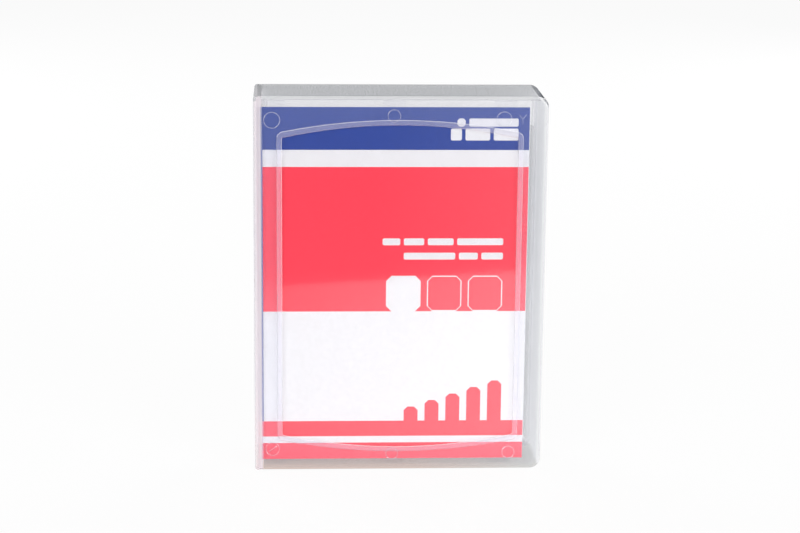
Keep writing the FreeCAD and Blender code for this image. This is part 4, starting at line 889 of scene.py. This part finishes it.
def raised_line(mesh, start, end):
    """Thin roof-shaped bar on the cover's face, from one (x, z) to another, in millimetres."""
    run = Vector((end[0] - start[0], end[1] - start[1]))
    bar = bmesh.ops.create_cube(mesh, size=1.0)["verts"]
    depth = (BAR_HEIGHT_MM + ROOT_MM) * MM
    bmesh.ops.scale(mesh, verts=bar, vec=(run.length * MM, depth, BAR_WIDTH_MM * MM))
    crest = [v for v in bar if v.co.y < 0]
    bmesh.ops.scale(mesh, verts=crest, vec=(CREST_LENGTH, 1.0, CREST_WIDTH))
    turn = Matrix.Rotation(-math.atan2(run.y, run.x), 4, "Y")
    across = (start[0] + end[0]) / 2 * MM
    up = (start[1] + end[1]) / 2 * MM
    centre = Vector((across, plate_face + ROOT_MM * MM - depth / 2, up))
    bmesh.ops.transform(mesh, matrix=Matrix.Translation(centre) @ turn, verts=bar)


lines = bmesh.new()
raised_line(lines, (-48.4, 7.2), (-45.5, 9.2))
fork = (44.0, 133.0)
for tip in ((42.6, 134.6), (45.4, 134.6), (44.0, 131.2)):
    raised_line(lines, fork, tip)
mould_lines = finish_piece("mould_lines", lines, cover_polypropylene, "cover")
print("mould lines", len(mould_lines.data.polygons), "faces")

# %% [markdown]
# ## The card's fold
# The insert is one sheet that is folded round the front corner, so its two flat leaves are joined
# by a narrow round edge, which shows as a thin coloured line down the left of the front. One point
# is spun a quarter turn, which gives the curve, and the curve is flattened to the fold's depth and
# drawn up the whole height. Cuts where the print changes colour give each ink faces of its own.

# %% Round edge between the two leaves
FOLD_STEPS = 6
CARD_MM = 0.3
STRIPE_LOW_MM, STRIPE_HIGH_MM = 10.0, 12.6
spine_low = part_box("print_blue_spine")[0]
print_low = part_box("print_blue_front")[0]
bend = Vector((leaf_low.x, spine_low.y, leaf_low.z))
fold = bmesh.new()
start = fold.verts.new((spine_low.x, spine_low.y, leaf_low.z))
bmesh.ops.spin(fold, geom=[start], cent=bend, axis=(0, 0, 1), angle=math.radians(90), steps=FOLD_STEPS)
flatten = (spine_low.y - print_low.y) / (leaf_low.x - spine_low.x)
bmesh.ops.scale(fold, verts=fold.verts[:], vec=(1, flatten, 1), space=Matrix.Translation(-bend))
raised = bmesh.ops.extrude_edge_only(fold, edges=fold.edges[:])
top = [v for v in raised["geom"] if isinstance(v, bmesh.types.BMVert)]
bmesh.ops.translate(fold, verts=top, vec=(0, 0, leaf_high.z - leaf_low.z))
colour_changes = (STRIPE_LOW_MM * MM, STRIPE_HIGH_MM * MM, spine_low.z)
for height in colour_changes:
    everything = fold.verts[:] + fold.edges[:] + fold.faces[:]
    bmesh.ops.bisect_plane(fold, geom=everything, plane_co=(0, 0, height), plane_no=(0, 0, 1))
bmesh.ops.recalc_face_normals(fold, faces=fold.faces)
bmesh.ops.solidify(fold, geom=fold.faces[:], thickness=CARD_MM * MM)
bmesh.ops.recalc_face_normals(fold, faces=fold.faces)
print("the fold is", round((leaf_low.x - spine_low.x) / MM, 2), "mm wide")

# %% [markdown]
# The faces that look outwards, away from the bend, carry the print: red below, blue above, and
# white in the narrow stripe.

# %% Ink on the fold
PRINTED_LIMIT = 0.7
for face in fold.faces:
    spot = face.calc_center_median()
    outward = Vector((spot.x - bend.x, spot.y - bend.y, 0))
    printed = face.normal.dot(outward.normalized()) > PRINTED_LIMIT
    in_stripe = colour_changes[0] < spot.z < colour_changes[1]
    if printed and not in_stripe:
        face.material_index = 1 if spot.z > colour_changes[2] else 2
card_fold = finish_piece("card_fold", fold, coated_card)
card_fold.data.materials.append(blue_offset_ink)
card_fold.data.materials.append(red_offset_ink)
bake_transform(card_fold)
print("card fold", len(card_fold.data.polygons), "faces")
